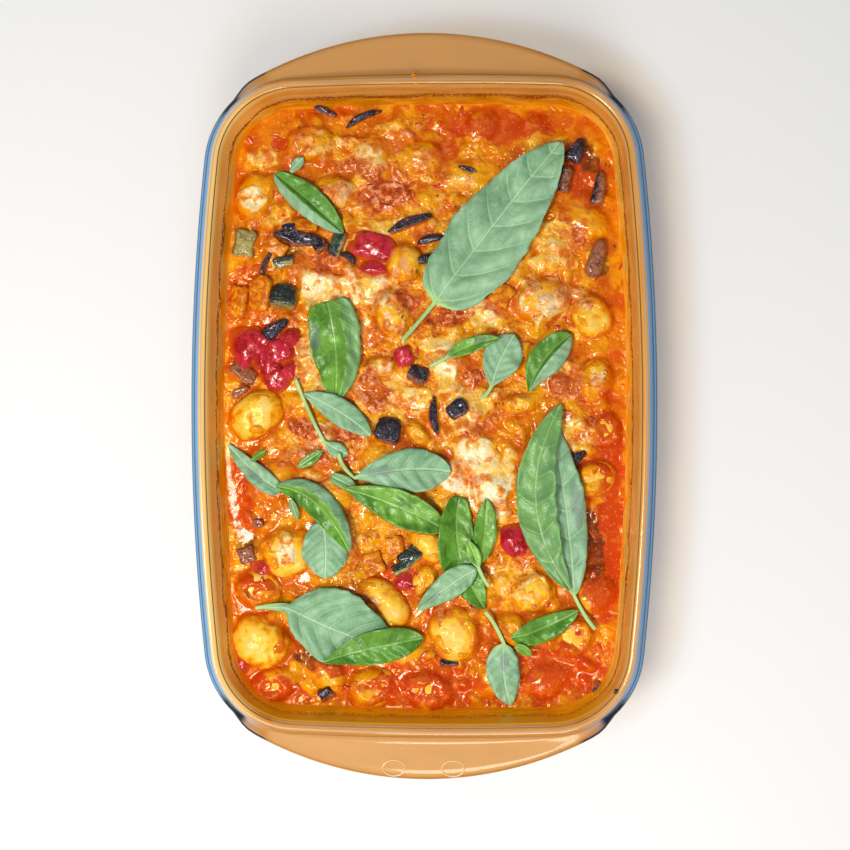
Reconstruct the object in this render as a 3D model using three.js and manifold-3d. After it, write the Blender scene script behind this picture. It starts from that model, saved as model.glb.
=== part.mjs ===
// A glass oven dish of baked gnocchi: potato gnocchi in tomato sauce with diced
// vegetables and melted cheese, strewn with basil. Millimetres, +Z up. The dish
// lies with its length along Y, its foot on Z = 0 and the origin under its middle.
import * as THREE from "three";
import { mergeVertices } from "three/addons/utils/BufferGeometryUtils.js";
import Module from "manifold-3d";

// Driving dimensions of the dish
const DISH_HALF_WIDTH = 109.5;
const DISH_HALF_LENGTH = 157.5;
const DISH_HEIGHT = 62;
const CORNER_RADIUS = 44;
const SIDE_BOW_RADIUS = 1100;
const END_BOW_RADIUS = 1500;
const FLOOR_THICKNESS = 5.5;
const FLOOR_EDGE_HEIGHT = 6.6;
const HEEL_HEIGHT = 11;
const OUTER_KNEE = 18;
const INNER_KNEE = 24;
const WALL_SLOPE = 0.3;
const WALL_INSET_OUTSIDE = 5.5;
const WALL_INSET_INSIDE = 8.7;
const FLANGE_UNDERSIDE = 51;
const FLANGE_TOP = 58;
const RIM_INNER_EDGE = 59;
const HANDLE_TIP = 175;
const HANDLE_ARC_RADIUS = 165;
const HANDLE_BLEND = 1.6;
const HANDLE_FADE = [0.72, 0.9];
const STATIONS_PER_SIDE = 4;
const STATIONS_PER_CORNER = 6;
const STATIONS_PER_END = 8;

// Driving dimensions of the food
const GAP = 0.3;
const FOOD_EDGE_LEVEL = 43;
const FOOD_CROWN = 2.2;
const FOOD_HALF_WIDTH = 95;
const FOOD_HALF_LENGTH = 143;
const FOOD_GRID = 12;
const BLOCK_MARGIN = 12;
const GNOCCO_HEIGHT = 17;
const GNOCCO_SIDES = 8;
const GNOCCO_RINGS = 5;
const SPREAD_LENGTH = [24, 29];
const SPREAD_WIDTH = [18, 22];
const SPREAD_RISE = [2, 4];
const GNOCCHI_SPACING = 22;
const GNOCCHI_WALL_MARGIN = 9;
const VEGETABLE_MARGIN = 8;
const ATTEMPTS = 4000;
const SEED = 41;

// Driving dimensions of the basil
const LEAF_THICKNESS = 0.7;
const STEM_HALF_WIDTH = 0.9;
const STEM_THICKNESS = 1.5;
const LEAF_CLEARANCE = 0.4;
const LEAF_WAVE = 0.03;
const NARROW_LEAF = 4.5;
const TIP_HALF_WIDTH = 0.45;
const BLADE_FULLNESS = 0.62;
const BLADE_ROW_SPACING = 11;
const STALK_ROW_SPACING = 9;
const EVENING_PASSES = 3;
const RELIEF_STEP = 1;
const MERGE_DISTANCE = 1e-4;

const COLOURS = {
  glass: 0xd9c9a6,
  bake: 0xe0702a,
  tomato: 0xc4202c,
  aubergine: 0x3a2230,
  courgette: 0x3f5a32,
  pepper: 0xe0852c,
  basil: 0x5f9a4c,
  basilPale: 0x9cc49a,
};

const wasm = await Module();
wasm.setup();

function random(seed) {
  let state = seed;
  return () => {
    state = (state + 0x6d2b79f5) | 0;
    let t = Math.imul(state ^ (state >>> 15), 1 | state);
    t = (t + Math.imul(t ^ (t >>> 7), 61 | t)) ^ t;
    return ((t ^ (t >>> 14)) >>> 0) / 4294967296;
  };
}

// Centre of the corner arc that runs smoothly into the bowed sides and ends
function cornerCentre() {
  const sideCentre = DISH_HALF_WIDTH - SIDE_BOW_RADIUS;
  const endCentre = DISH_HALF_LENGTH - END_BOW_RADIUS;
  let x = DISH_HALF_WIDTH - CORNER_RADIUS;
  let y = DISH_HALF_LENGTH - CORNER_RADIUS;
  for (let pass = 0; pass < 60; pass += 1) {
    x = sideCentre + Math.sqrt((SIDE_BOW_RADIUS - CORNER_RADIUS) ** 2 - y * y);
    y = endCentre + Math.sqrt((END_BOW_RADIUS - CORNER_RADIUS) ** 2 - x * x);
  }
  return { x, y, sideCentre, endCentre };
}

// Stations round the dish, each an arc centre, an arc radius and a direction outwards
function outlineStations(perSide, perCorner, perEnd) {
  const corner = cornerCentre();
  const sideAngle = Math.atan2(corner.y, corner.x - corner.sideCentre);
  const endAngle = Math.atan2(corner.y - corner.endCentre, corner.x);
  const arcs = [];
  for (const [sx, sy, turn] of [[1, 1, 1], [-1, 1, -1], [-1, -1, 1], [1, -1, -1]]) {
    const quarter = [
      [corner.sideCentre, 0, SIDE_BOW_RADIUS, 0, sideAngle, perSide / 2],
      [corner.x, corner.y, CORNER_RADIUS, sideAngle, endAngle, perCorner],
      [0, corner.endCentre, END_BOW_RADIUS, endAngle, Math.PI / 2, perEnd / 2],
    ];
    const run = [];
    for (const [cx, cy, radius, from, to, steps] of quarter) {
      for (let k = 0; k < steps; k += 1) {
        const angle = from + ((to - from) * k) / steps;
        run.push({ cx, cy, radius, nx: Math.cos(angle), ny: Math.sin(angle) });
      }
    }
    run.push({ cx: 0, cy: corner.endCentre, radius: END_BOW_RADIUS, nx: 0, ny: 1 });
    if (turn < 0) run.reverse();
    run.pop();
    for (const s of run) {
      arcs.push({ cx: sx * s.cx, cy: sy * s.cy, radius: s.radius, nx: sx * s.nx, ny: sy * s.ny });
    }
  }
  return arcs;
}

function stationPoint(s, inset) {
  return [s.cx + (s.radius - inset) * s.nx, s.cy + (s.radius - inset) * s.ny];
}

// How far the handle stands out of the body's outline at a station
function handleReach(s) {
  const [x, y] = stationPoint(s, 0);
  const dy = Math.abs(y) - (HANDLE_TIP - HANDLE_ARC_RADIUS);
  const b = x * s.nx + dy * Math.abs(s.ny);
  const c = x * x + dy * dy - HANDLE_ARC_RADIUS ** 2;
  const reach = -b + Math.sqrt(Math.max(b * b - c, 0));
  const smooth = (reach + Math.sqrt(reach * reach + HANDLE_BLEND ** 2)) / 2;
  return smooth * THREE.MathUtils.smoothstep(Math.abs(s.ny), ...HANDLE_FADE);
}

// A closed solid from rings of points that share their stations, capped at both ends
function solidFromRings(rings) {
  const count = rings[0].length;
  const positions = [];
  const index = [];
  for (const ring of rings) {
    for (const p of ring) positions.push(...p);
  }
  for (let r = 0; r + 1 < rings.length; r += 1) {
    for (let k = 0; k < count; k += 1) {
      const a = r * count + k;
      const b = r * count + ((k + 1) % count);
      index.push(a, b, b + count, a, b + count, a + count);
    }
  }
  const bottom = positions.length / 3;
  positions.push(0, 0, rings[0][0][2]);
  positions.push(0, 0, rings[rings.length - 1][0][2]);
  const last = (rings.length - 1) * count;
  for (let k = 0; k < count; k += 1) {
    const next = (k + 1) % count;
    index.push(bottom, next, k);
    index.push(bottom + 1, last + k, last + next);
  }
  const geometry = new THREE.BufferGeometry();
  geometry.setAttribute("position", new THREE.Float32BufferAttribute(positions, 3));
  geometry.setIndex(index);
  return geometry;
}

function toManifold(geometry) {
  const bare = geometry.clone();
  bare.deleteAttribute("normal");
  bare.deleteAttribute("uv");
  const merged = mergeVertices(bare, MERGE_DISTANCE);
  return new wasm.Manifold(
    new wasm.Mesh({
      numProp: 3,
      vertProperties: new Float32Array(merged.attributes.position.array),
      triVerts: new Uint32Array(merged.index.array),
    }),
  );
}

function toGeometry(solid) {
  const mesh = solid.getMesh();
  const positions = new Float32Array(mesh.numVert * 3);
  for (let i = 0; i < mesh.numVert; i += 1) {
    positions.set(mesh.vertProperties.subarray(i * mesh.numProp, i * mesh.numProp + 3), i * 3);
  }
  const geometry = new THREE.BufferGeometry();
  geometry.setAttribute("position", new THREE.BufferAttribute(positions, 3));
  geometry.setIndex(new THREE.BufferAttribute(new Uint32Array(mesh.triVerts), 1));
  return geometry;
}

function named(name, geometry, colour, roughness, extra = {}) {
  const material = new THREE.MeshStandardMaterial({ color: colour, roughness, metalness: 0, ...extra });
  const mesh = new THREE.Mesh(geometry, material);
  mesh.name = name;
  return mesh;
}

function wallOutside(z) {
  return WALL_INSET_OUTSIDE + (FLANGE_UNDERSIDE - z) * WALL_SLOPE;
}

function wallInside(z) {
  return WALL_INSET_INSIDE + (RIM_INNER_EDGE - z) * WALL_SLOPE;
}

// The dish's section from the foot, out over the rim and handle, and down to the floor.
// Each row: inset from the outline, height, and whether the handle pushes it outwards.
function dishSection() {
  return [
    [32, 0, 0],
    [24.5, 1.8, 0],
    [19.2, 6.5, 0],
    [wallOutside(OUTER_KNEE), OUTER_KNEE, 0],
    [WALL_INSET_OUTSIDE, FLANGE_UNDERSIDE, 0],
    [2, FLANGE_UNDERSIDE + 1.2, 1],
    [0, FLANGE_UNDERSIDE + 3.2, 1],
    [0.3, FLANGE_TOP - 1.4, 1],
    [1.8, FLANGE_TOP, 1],
    [2.4, FLANGE_TOP + 0.7, 0],
    [3.4, DISH_HEIGHT - 0.7, 0],
    [5.4, DISH_HEIGHT, 0],
    [7.6, DISH_HEIGHT - 0.8, 0],
    [WALL_INSET_INSIDE, RIM_INNER_EDGE, 0],
    [wallInside(INNER_KNEE), INNER_KNEE, 0],
    [23.5, HEEL_HEIGHT, 0],
    [29, FLOOR_EDGE_HEIGHT, 0],
    [36, FLOOR_THICKNESS, 0],
  ];
}

const STATIONS = outlineStations(STATIONS_PER_SIDE, STATIONS_PER_CORNER, STATIONS_PER_END);

function glassDish() {
  const rings = dishSection().map(([inset, z, pushed]) =>
    STATIONS.map((s) => {
      const [x, y] = stationPoint(s, inset - pushed * handleReach(s));
      return [x, y, z];
    }),
  );
  return named("glass_dish", solidFromRings(rings), COLOURS.glass, 0.05, {
    transparent: true,
    opacity: 0.45,
  });
}

// The room inside the dish, a gap clear of its walls and floor
function dishRoom() {
  const section = [
    [36, FLOOR_THICKNESS + GAP],
    [29.2, FLOOR_EDGE_HEIGHT + 1.2 * GAP],
    [23.9, HEEL_HEIGHT + GAP],
    [wallInside(INNER_KNEE) + 1.1 * GAP, INNER_KNEE],
    [WALL_INSET_INSIDE + 1.1 * GAP, RIM_INNER_EDGE],
  ];
  const rings = section.map(([inset, z]) =>
    STATIONS.map((s) => {
      const [x, y] = stationPoint(s, inset);
      return [x, y, z];
    }),
  );
  return toManifold(solidFromRings(rings));
}

// Level of the sauce and cheese between the gnocchi
function foodLevel(x, y) {
  const u = Math.abs(x) / FOOD_HALF_WIDTH;
  const v = Math.abs(y) / FOOD_HALF_LENGTH;
  const crown = FOOD_CROWN * (1 - Math.min(Math.max(u, v), 1) ** 4);
  const swell = 0.8 * Math.sin(x / 17 + 1.3) * Math.sin(y / 23 + 0.4);
  const ripple = 0.5 * Math.sin(x / 9 + y / 13);
  return FOOD_EDGE_LEVEL + crown + swell + ripple;
}

// A block whose top follows the food's level, wider than the dish on every side
function foodBlock() {
  const columns = Math.ceil((2 * (FOOD_HALF_WIDTH + BLOCK_MARGIN)) / FOOD_GRID);
  const rows = Math.ceil((2 * (FOOD_HALF_LENGTH + BLOCK_MARGIN)) / FOOD_GRID);
  const geometry = new THREE.BoxGeometry(columns * FOOD_GRID, rows * FOOD_GRID, 2, columns, rows, 1);
  const p = geometry.attributes.position;
  for (let i = 0; i < p.count; i += 1) {
    p.setZ(i, p.getZ(i) > 0 ? foodLevel(p.getX(i), p.getY(i)) : 0);
  }
  return toManifold(geometry);
}

// A potato gnocco lying in the sauce; rise is how far it stands out
function gnocco([x, y, length, width, degrees, rise]) {
  const geometry = new THREE.SphereGeometry(1, GNOCCO_SIDES, GNOCCO_RINGS);
  geometry.rotateX(Math.PI / 2);
  geometry.scale(length / 2, width / 2, GNOCCO_HEIGHT / 2);
  geometry.rotateZ(THREE.MathUtils.degToRad(degrees));
  geometry.translate(x, y, foodLevel(x, y) + rise - GNOCCO_HEIGHT / 2);
  return toManifold(geometry);
}

// Gnocchi that show plainly: x, y, length, width, angle in degrees, rise
const PLAIN_GNOCCHI = [
  [-80, -4, 28, 21, 35, 6],
  [-78, -112, 29, 24, -20, 6.5],
  [-19, -94, 30, 18, -48, 6],
  [15, -108, 27, 24, -60, 5.5],
  [2, -66, 23, 14, -40, 5],
  [0, -83, 17, 12, 60, 4],
  [-25, -134, 26, 20, 20, 3.5],
  [2, -135, 26, 20, -10, 3.5],
  [-72, -133, 26, 18, 20, 3],
  [-9, 68, 19, 17, 80, 6],
  [-15, 44, 24, 17, 100, 5],
  [-20, 19, 17, 10, 0, 3],
  [-3, -13, 16, 10, -50, 3],
  [56, 50, 28, 21, 8, 5.5],
  [80, 43, 22, 19, -60, 5.5],
  [81, 12, 23, 17, 75, 4.5],
  [45, 1, 19, 10, 5, 3.5],
  [86, -12, 18, 15, 80, 4],
  [81, -34, 21, 17, 15, 5],
  [52, -88, 23, 19, 30, 4.5],
  [71, -110, 24, 18, 50, 4],
  [41, -106, 22, 17, -15, 3.5],
  [-79, -88, 25, 19, -20, 3.5],
  [-65, -69, 27, 23, 25, 5],
  [-55, 125, 26, 20, 10, 3.5],
  [-81, 101, 26, 19, 70, 4],
];

// Vegetables that show on top: kind, x, y, length, width, height, angle, rise
const VEGETABLES = [
  ["tomato", -25, 75, 21, 13, 9, -12, 4.5],
  ["tomato", -85.5, 30, 17, 16, 9, 60, 4.5],
  ["tomato", -69, 25, 14, 12, 9, 30, 4.5],
  ["tomato", -71, 12, 12, 11, 8, -15, 4],
  ["tomato", -9, 23, 9, 9, 7, 20, 4],
  ["tomato", 44.5, -63, 15, 14, 9, -50, 4.5],
  ["tomato", -78, -78, 11, 10, 8, 60, 3],
  ["tomato", -9, -83, 11, 9, 8, 0, 3.5],
  ["dice", -17, -12, 12, 11.5, 10, -15, 5.5],
  ["dice", -3, 14.5, 9.5, 8, 8, -25, 4],
  ["dice", 16, -1.5, 10, 8, 8, 35, 4],
  ["dice", 67, 107, 12, 7, 9, 80, 4.5],
  ["wedge", -71, 37.5, 14, 8, 8, 35, 4.5],
  ["wedge", -56, 79.5, 16, 9, 8, -12, 4],
  ["wedge", 72.5, 121, 13, 10, 8, 60, 4],
  ["wedge", 83, 103, 17, 8, 8, 80, 3.5],
  ["wedge", 81.5, 70, 18, 10, 8, 75, 4],
  ["strip", -6, 86, 23, 5, 6, 20, 3.5],
  ["strip", -29, 137, 18, 4, 6, 25, 3],
  ["strip", 5.5, -4, 18, 4, 6, 95, 3],
  ["slice", 3, 80, 14, 8, 5, 14, 3.5],
  ["slice", 2, 70.5, 20, 9, 5, 8, 4],
  ["courgette", -67, 69, 10, 5.5, 6, 15, 3.5],
  ["courgette", -67, 52, 12, 11, 9, -10, 5],
  ["courgette", -86, 78, 13, 10, 8, 80, 4],
  ["courgette", -41, 77, 12, 6, 8, 70, 4],
  ["courgette", -6, -71.5, 12, 8, 8, 40, 4],
  ["pepper", -78, 54, 15, 9, 7, 85, 4],
  ["pepper", -88.5, 50, 14, 7, 7, 80, 3.5],
  ["pepper", -70.5, 76, 10, 6, 6, -30, 3.5],
  ["pepper", 36.5, 53, 10, 9, 8, 60, 4],
  ["pepper", -24, -75, 9, 9, 8, 20, 4],
];

const SPECIES = {
  tomato: { label: "tomato_piece", colour: COLOURS.tomato, roughness: 0.25 },
  dice: { label: "aubergine_dice", colour: COLOURS.aubergine, roughness: 0.45 },
  wedge: { label: "aubergine_wedge", colour: COLOURS.aubergine, roughness: 0.45 },
  strip: { label: "aubergine_strip", colour: COLOURS.aubergine, roughness: 0.5 },
  slice: { label: "aubergine_slice", colour: COLOURS.aubergine, roughness: 0.5 },
  courgette: { label: "courgette_dice", colour: COLOURS.courgette, roughness: 0.45 },
  pepper: { label: "pepper_piece", colour: COLOURS.pepper, roughness: 0.4 },
};

// The simple hollow that a cut piece lies in
function boxPit() {
  return new THREE.BoxGeometry(1, 1, 1);
}

function wedgePit() {
  const geometry = new THREE.BoxGeometry(1, 1, 1);
  narrowOneEnd(geometry);
  return geometry;
}

function tomatoPit() {
  const geometry = new THREE.CylinderGeometry(0.64, 0.62, 1, 7);
  geometry.rotateX(Math.PI / 2);
  return geometry;
}

function narrowOneEnd(geometry) {
  const p = geometry.attributes.position;
  for (let i = 0; i < p.count; i += 1) {
    p.setY(i, p.getY(i) * (0.75 - 0.5 * p.getX(i)));
  }
}

// Rounds a box's points towards a ball, so that a cut cube gets soft edges
function softenBox(geometry, share) {
  const p = geometry.attributes.position;
  const v = new THREE.Vector3();
  for (let i = 0; i < p.count; i += 1) {
    v.fromBufferAttribute(p, i).multiplyScalar(2);
    const ball = v.clone().normalize();
    v.lerp(ball, share).multiplyScalar(0.5);
    p.setXYZ(i, v.x, v.y, v.z);
  }
}

function tomatoShape() {
  const geometry = new THREE.SphereGeometry(0.5, 7, 5);
  geometry.rotateX(Math.PI / 2);
  const p = geometry.attributes.position;
  for (let i = 0; i < p.count; i += 1) {
    const turn = Math.atan2(p.getY(i), p.getX(i));
    const pinch = 1 + 0.12 * Math.cos(3 * turn + 0.7);
    p.setXY(i, p.getX(i) * pinch, p.getY(i) * pinch);
  }
  return geometry;
}

function diceShape() {
  const geometry = new THREE.BoxGeometry(1, 1, 1, 2, 2, 2);
  softenBox(geometry, 0.38);
  return geometry;
}

function wedgeShape() {
  const geometry = new THREE.BoxGeometry(1, 1, 1, 2, 2, 2);
  softenBox(geometry, 0.25);
  narrowOneEnd(geometry);
  return geometry;
}

function stripShape() {
  const geometry = new THREE.BoxGeometry(1, 1, 1, 4, 1, 1);
  const p = geometry.attributes.position;
  for (let i = 0; i < p.count; i += 1) {
    const along = 2 * p.getX(i);
    p.setY(i, p.getY(i) * (1 - 0.35 * along * along) + 0.35 * (1 - along * along));
  }
  return geometry;
}

function sliceShape() {
  const shape = new THREE.Shape();
  shape.absellipse(0, 0, 0.5, 0.5, 0, Math.PI, false, 0);
  shape.closePath();
  const geometry = new THREE.ExtrudeGeometry(shape, { depth: 1, bevelEnabled: false, curveSegments: 8 });
  geometry.translate(0, -0.25, -0.5);
  return geometry;
}

const SHAPES = {
  tomato: { piece: tomatoShape, pit: tomatoPit },
  dice: { piece: diceShape, pit: boxPit },
  courgette: { piece: diceShape, pit: boxPit },
  pepper: { piece: diceShape, pit: boxPit },
  wedge: { piece: wedgeShape, pit: wedgePit },
  strip: { piece: stripShape, pit: stripShape },
  slice: { piece: sliceShape, pit: sliceShape },
};

// A vegetable piece half sunk in the food, or the hollow that it lies in
function vegetable([kind, x, y, length, width, height, degrees, rise], form = "piece") {
  const geometry = SHAPES[kind][form]();
  const grow = form === "pit" ? GAP : 0;
  geometry.scale(length + 2 * grow, width + 2 * grow, height + 2 * grow);
  geometry.rotateZ(THREE.MathUtils.degToRad(degrees));
  geometry.translate(x, y, foodLevel(x, y) + rise - height / 2);
  return geometry;
}

function insideFood(x, y, margin) {
  const corner = cornerCentre();
  const radius = CORNER_RADIUS - wallInside(FOOD_EDGE_LEVEL) - margin;
  const dx = Math.max(Math.abs(x) - corner.x, 0);
  const dy = Math.max(Math.abs(y) - corner.y, 0);
  return Math.hypot(dx, dy) < radius;
}

// The rest of the top layer, spread by a seeded rule clear of the plain gnocchi
// and of the vegetables
function spreadGnocchi() {
  const draw = random(SEED);
  const placed = PLAIN_GNOCCHI.map(([x, y]) => [x, y]);
  const found = [];
  for (let attempt = 0; attempt < ATTEMPTS; attempt += 1) {
    const x = (2 * draw() - 1) * FOOD_HALF_WIDTH;
    const y = (2 * draw() - 1) * FOOD_HALF_LENGTH;
    const size = draw();
    const degrees = 180 * draw();
    const rise = THREE.MathUtils.lerp(...SPREAD_RISE, draw());
    if (!insideFood(x, y, GNOCCHI_WALL_MARGIN)) continue;
    if (placed.some(([px, py]) => Math.hypot(px - x, py - y) < GNOCCHI_SPACING)) continue;
    const near = (v) => Math.hypot(v[1] - x, v[2] - y) < VEGETABLE_MARGIN + v[3] / 2;
    if (VEGETABLES.some(near)) continue;
    placed.push([x, y]);
    const length = THREE.MathUtils.lerp(...SPREAD_LENGTH, size);
    const width = THREE.MathUtils.lerp(...SPREAD_WIDTH, size);
    found.push([x, y, length, width, degrees, rise]);
  }
  return found;
}

function largestBody(solid) {
  const bodies = solid.decompose();
  bodies.sort((a, b) => b.volume() - a.volume());
  return bodies[0];
}

function gnocchiBake() {
  let food = foodBlock();
  for (const item of [...PLAIN_GNOCCHI, ...spreadGnocchi()]) food = food.add(gnocco(item));
  food = food.intersect(dishRoom());
  for (const item of VEGETABLES) food = food.subtract(toManifold(vegetable(item, "pit")));
  return named("gnocchi_bake", toGeometry(largestBody(food)), COLOURS.bake, 0.4);
}

function vegetablePieces() {
  const counts = {};
  return VEGETABLES.map((item) => {
    const { label, colour, roughness } = SPECIES[item[0]];
    counts[label] = (counts[label] || 0) + 1;
    return named(label + "_" + counts[label], vegetable(item), colour, roughness);
  });
}

// Highest point of what lies in the dish, kept on a fine grid so that leaves can rest on it
class Relief {
  constructor() {
    this.columns = Math.ceil((2 * DISH_HALF_WIDTH) / RELIEF_STEP);
    this.rows = Math.ceil((2 * DISH_HALF_LENGTH) / RELIEF_STEP);
    this.top = new Float32Array(this.columns * this.rows);
  }

  column(x) {
    return Math.round((x + DISH_HALF_WIDTH) / RELIEF_STEP);
  }

  row(y) {
    return Math.round((y + DISH_HALF_LENGTH) / RELIEF_STEP);
  }

  add(mesh) {
    const flat = mesh.geometry.index ? mesh.geometry.toNonIndexed() : mesh.geometry;
    const p = flat.attributes.position;
    const [a, b, c] = [new THREE.Vector3(), new THREE.Vector3(), new THREE.Vector3()];
    for (let i = 0; i < p.count; i += 3) {
      a.fromBufferAttribute(p, i);
      b.fromBufferAttribute(p, i + 1);
      c.fromBufferAttribute(p, i + 2);
      this.addTriangle(a, b, c);
    }
  }

  addTriangle(a, b, c) {
    const area = (b.x - a.x) * (c.y - a.y) - (c.x - a.x) * (b.y - a.y);
    if (area < 1e-6) return;
    const lowX = this.column(Math.min(a.x, b.x, c.x));
    const highX = this.column(Math.max(a.x, b.x, c.x));
    const lowY = this.row(Math.min(a.y, b.y, c.y));
    const highY = this.row(Math.max(a.y, b.y, c.y));
    for (let gy = Math.max(lowY, 0); gy <= Math.min(highY, this.rows - 1); gy += 1) {
      for (let gx = Math.max(lowX, 0); gx <= Math.min(highX, this.columns - 1); gx += 1) {
        const x = gx * RELIEF_STEP - DISH_HALF_WIDTH;
        const y = gy * RELIEF_STEP - DISH_HALF_LENGTH;
        const u = ((b.x - x) * (c.y - y) - (c.x - x) * (b.y - y)) / area;
        const v = ((c.x - x) * (a.y - y) - (a.x - x) * (c.y - y)) / area;
        const w = 1 - u - v;
        if (Math.min(u, v, w) < -0.2) continue;
        const z = u * a.z + v * b.z + w * c.z;
        const at = gy * this.columns + gx;
        const ceiling = Math.max(a.z, b.z, c.z);
        this.top[at] = Math.max(this.top[at], Math.min(z, ceiling));
      }
    }
  }

  highest(x, y, radius) {
    const reach = Math.ceil(radius / RELIEF_STEP);
    let best = 0;
    for (let dy = -reach; dy <= reach; dy += 1) {
      for (let dx = -reach; dx <= reach; dx += 1) {
        if (dx * dx + dy * dy > reach * reach) continue;
        const gx = this.column(x) + dx;
        const gy = this.row(y) + dy;
        if (gx < 0 || gy < 0 || gx >= this.columns || gy >= this.rows) continue;
        best = Math.max(best, this.top[gy * this.columns + gx]);
      }
    }
    return best;
  }
}

// Basil leaves in the order in which they lie, lowest first. stem: where the stalk
// starts; base, mid, tip: points on the midrib; left, right: half widths; widest:
// where along the blade; blunt: share of the width at its base; cup: how steeply the
// halves rise; curl: lift of the tip; pale: its underside shows
const LEAVES = [
  {
    stem: [-10, 31], base: [6, 50], mid: [35, 88], tip: [65, 125],
    left: 17, right: 20.5, widest: 0.4, blunt: 0.3, cup: 0.06, curl: 1.5, pale: true,
  },
  {
    base: [-71, 111], mid: [-54, 97], tip: [-38, 82],
    left: 7, right: 7.5, widest: 0.45, cup: 0.35,
  },
  {
    base: [-46, 50], mid: [-42, 27], tip: [-42, 2],
    left: 12.5, right: 11.5, widest: 0.4, blunt: 0.55, cup: 0.16,
  },
  {
    stem: [-61, 13], base: [-47, -17], mid: [-42, -20], tip: [-36, -23],
    left: 3.5, right: 4, widest: 0.6, cup: 0.1,
  },
  {
    base: [-57, 6], mid: [-41, -2], tip: [-25, -14],
    left: 6.5, right: 6, widest: 0.55, cup: 0.1, pale: true,
  },
  {
    base: [-60, -29], mid: [-54, -25], tip: [-48, -21],
    left: 2.5, right: 3, widest: 0.5, cup: 0.1,
  },
  {
    base: [-68, -40], mid: [-81, -31], tip: [-94, -18],
    left: 5, right: 4.5, widest: 0.4, blunt: 0.4, cup: 0.15, curl: 0.5, pale: true,
  },
  {
    base: [-48, -55], mid: [-46.5, -68], tip: [-47, -82],
    left: 10, right: 10.5, widest: 0.55, blunt: 0.5, cup: 0.08, pale: true,
  },
  {
    base: [-70, -38], mid: [-50, -47], tip: [-35, -69],
    left: 8, right: 6, widest: 0.5, cup: 0.3,
  },
  {
    stem: [-40, -22], base: [-33, -34], mid: [-9, -30], tip: [13, -31],
    left: 10, right: 11, widest: 0.6, cup: 0.1, curl: 0.5, pale: true,
  },
  {
    base: [-44, -33], mid: [-38, -36], tip: [-32, -39],
    left: 3.5, right: 3, widest: 0.5, blunt: 0.4, cup: 0.2,
  },
  {
    base: [-37, -39], mid: [-11, -48], tip: [10, -59],
    left: 8.5, right: 8.5, widest: 0.55, cup: 0.1,
  },
  {
    base: [17, -43], mid: [17, -70], tip: [29, -96],
    left: 9, right: 9, widest: 0.5, blunt: 0.3, cup: 0.12,
  },
  {
    base: [25, -77], mid: [12, -85], tip: [-3, -97],
    left: 6, right: 6.5, widest: 0.42, cup: 0.14, pale: true,
  },
  {
    base: [30, -44], mid: [29, -59], tip: [27, -74],
    left: 5.5, right: 5, widest: 0.5, cup: 0.1,
  },
  {
    stem: [31, -85], base: [26, -76], mid: [24, -70], tip: [21, -63],
    left: 3, right: 3, widest: 0.5, cup: 0.2, curl: 0.5,
  },
  {
    stem: [81, -105], base: [71, -89], mid: [67, -47], tip: [60, -6],
    left: 9, right: 9.5, widest: 0.45, cup: 0.08, pale: true,
  },
  {
    base: [69, -86], mid: [53, -44], tip: [65, 1],
    left: 9, right: 9.5, widest: 0.5, cup: 0.12, curl: 0.8,
  },
  {
    stem: [27, 4], base: [32, 9], mid: [36, 21], tip: [43, 34],
    left: 8.5, right: 9.5, widest: 0.6, cup: 0.14, pale: true,
  },
  {
    base: [50, 7], mid: [57, 22], tip: [70, 34],
    left: 7.5, right: 8.5, widest: 0.58, cup: 0.2,
  },
  {
    stem: [3, 19], base: [11, 23], mid: [22, 28.5], tip: [36, 32],
    left: 4, right: 3.5, widest: 0.5, cup: 0.15,
  },
  {
    stem: [-80, -96], base: [-66, -96], mid: [-43, -106], tip: [-13, -117],
    left: 20.5, right: 15, widest: 0.48, cup: 0.06, pale: true,
  },
  {
    base: [-47, -121], mid: [-24, -114.5], tip: [0, -110],
    left: 8.5, right: 8.5, widest: 0.6, cup: 0.12, curl: 0.5,
  },
  {
    stem: [29, -97], base: [38, -112], mid: [38, -127], tip: [41, -142],
    left: 7.5, right: 8, widest: 0.42, cup: 0.1,
  },
  {
    base: [41.5, -109], mid: [56, -105], tip: [73, -96],
    left: 5.5, right: 6.5, widest: 0.5, cup: 0.2, curl: 0.5,
  },
  {
    base: [43, -113], mid: [47, -114.5], tip: [51, -118],
    left: 2.5, right: 2.5, widest: 0.5, cup: 0.2,
  },
];

// A smooth line from start to end that passes through middle at its half way
function midrib(start, middle, end) {
  const control = new THREE.Vector2(
    2 * middle[0] - (start[0] + end[0]) / 2,
    2 * middle[1] - (start[1] + end[1]) / 2,
  );
  return new THREE.QuadraticBezierCurve(
    new THREE.Vector2(...start),
    control,
    new THREE.Vector2(...end),
  );
}

// Share of a blade's greatest width at t, from 0 at its base to 1 at its tip
function bladeWidth(t, widest, blunt) {
  const power = Math.log(0.5) / Math.log(widest);
  const share = Math.max(Math.sin(Math.PI * t ** power), 0) ** BLADE_FULLNESS;
  return t < widest ? blunt + (1 - blunt) * share : share;
}

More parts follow.
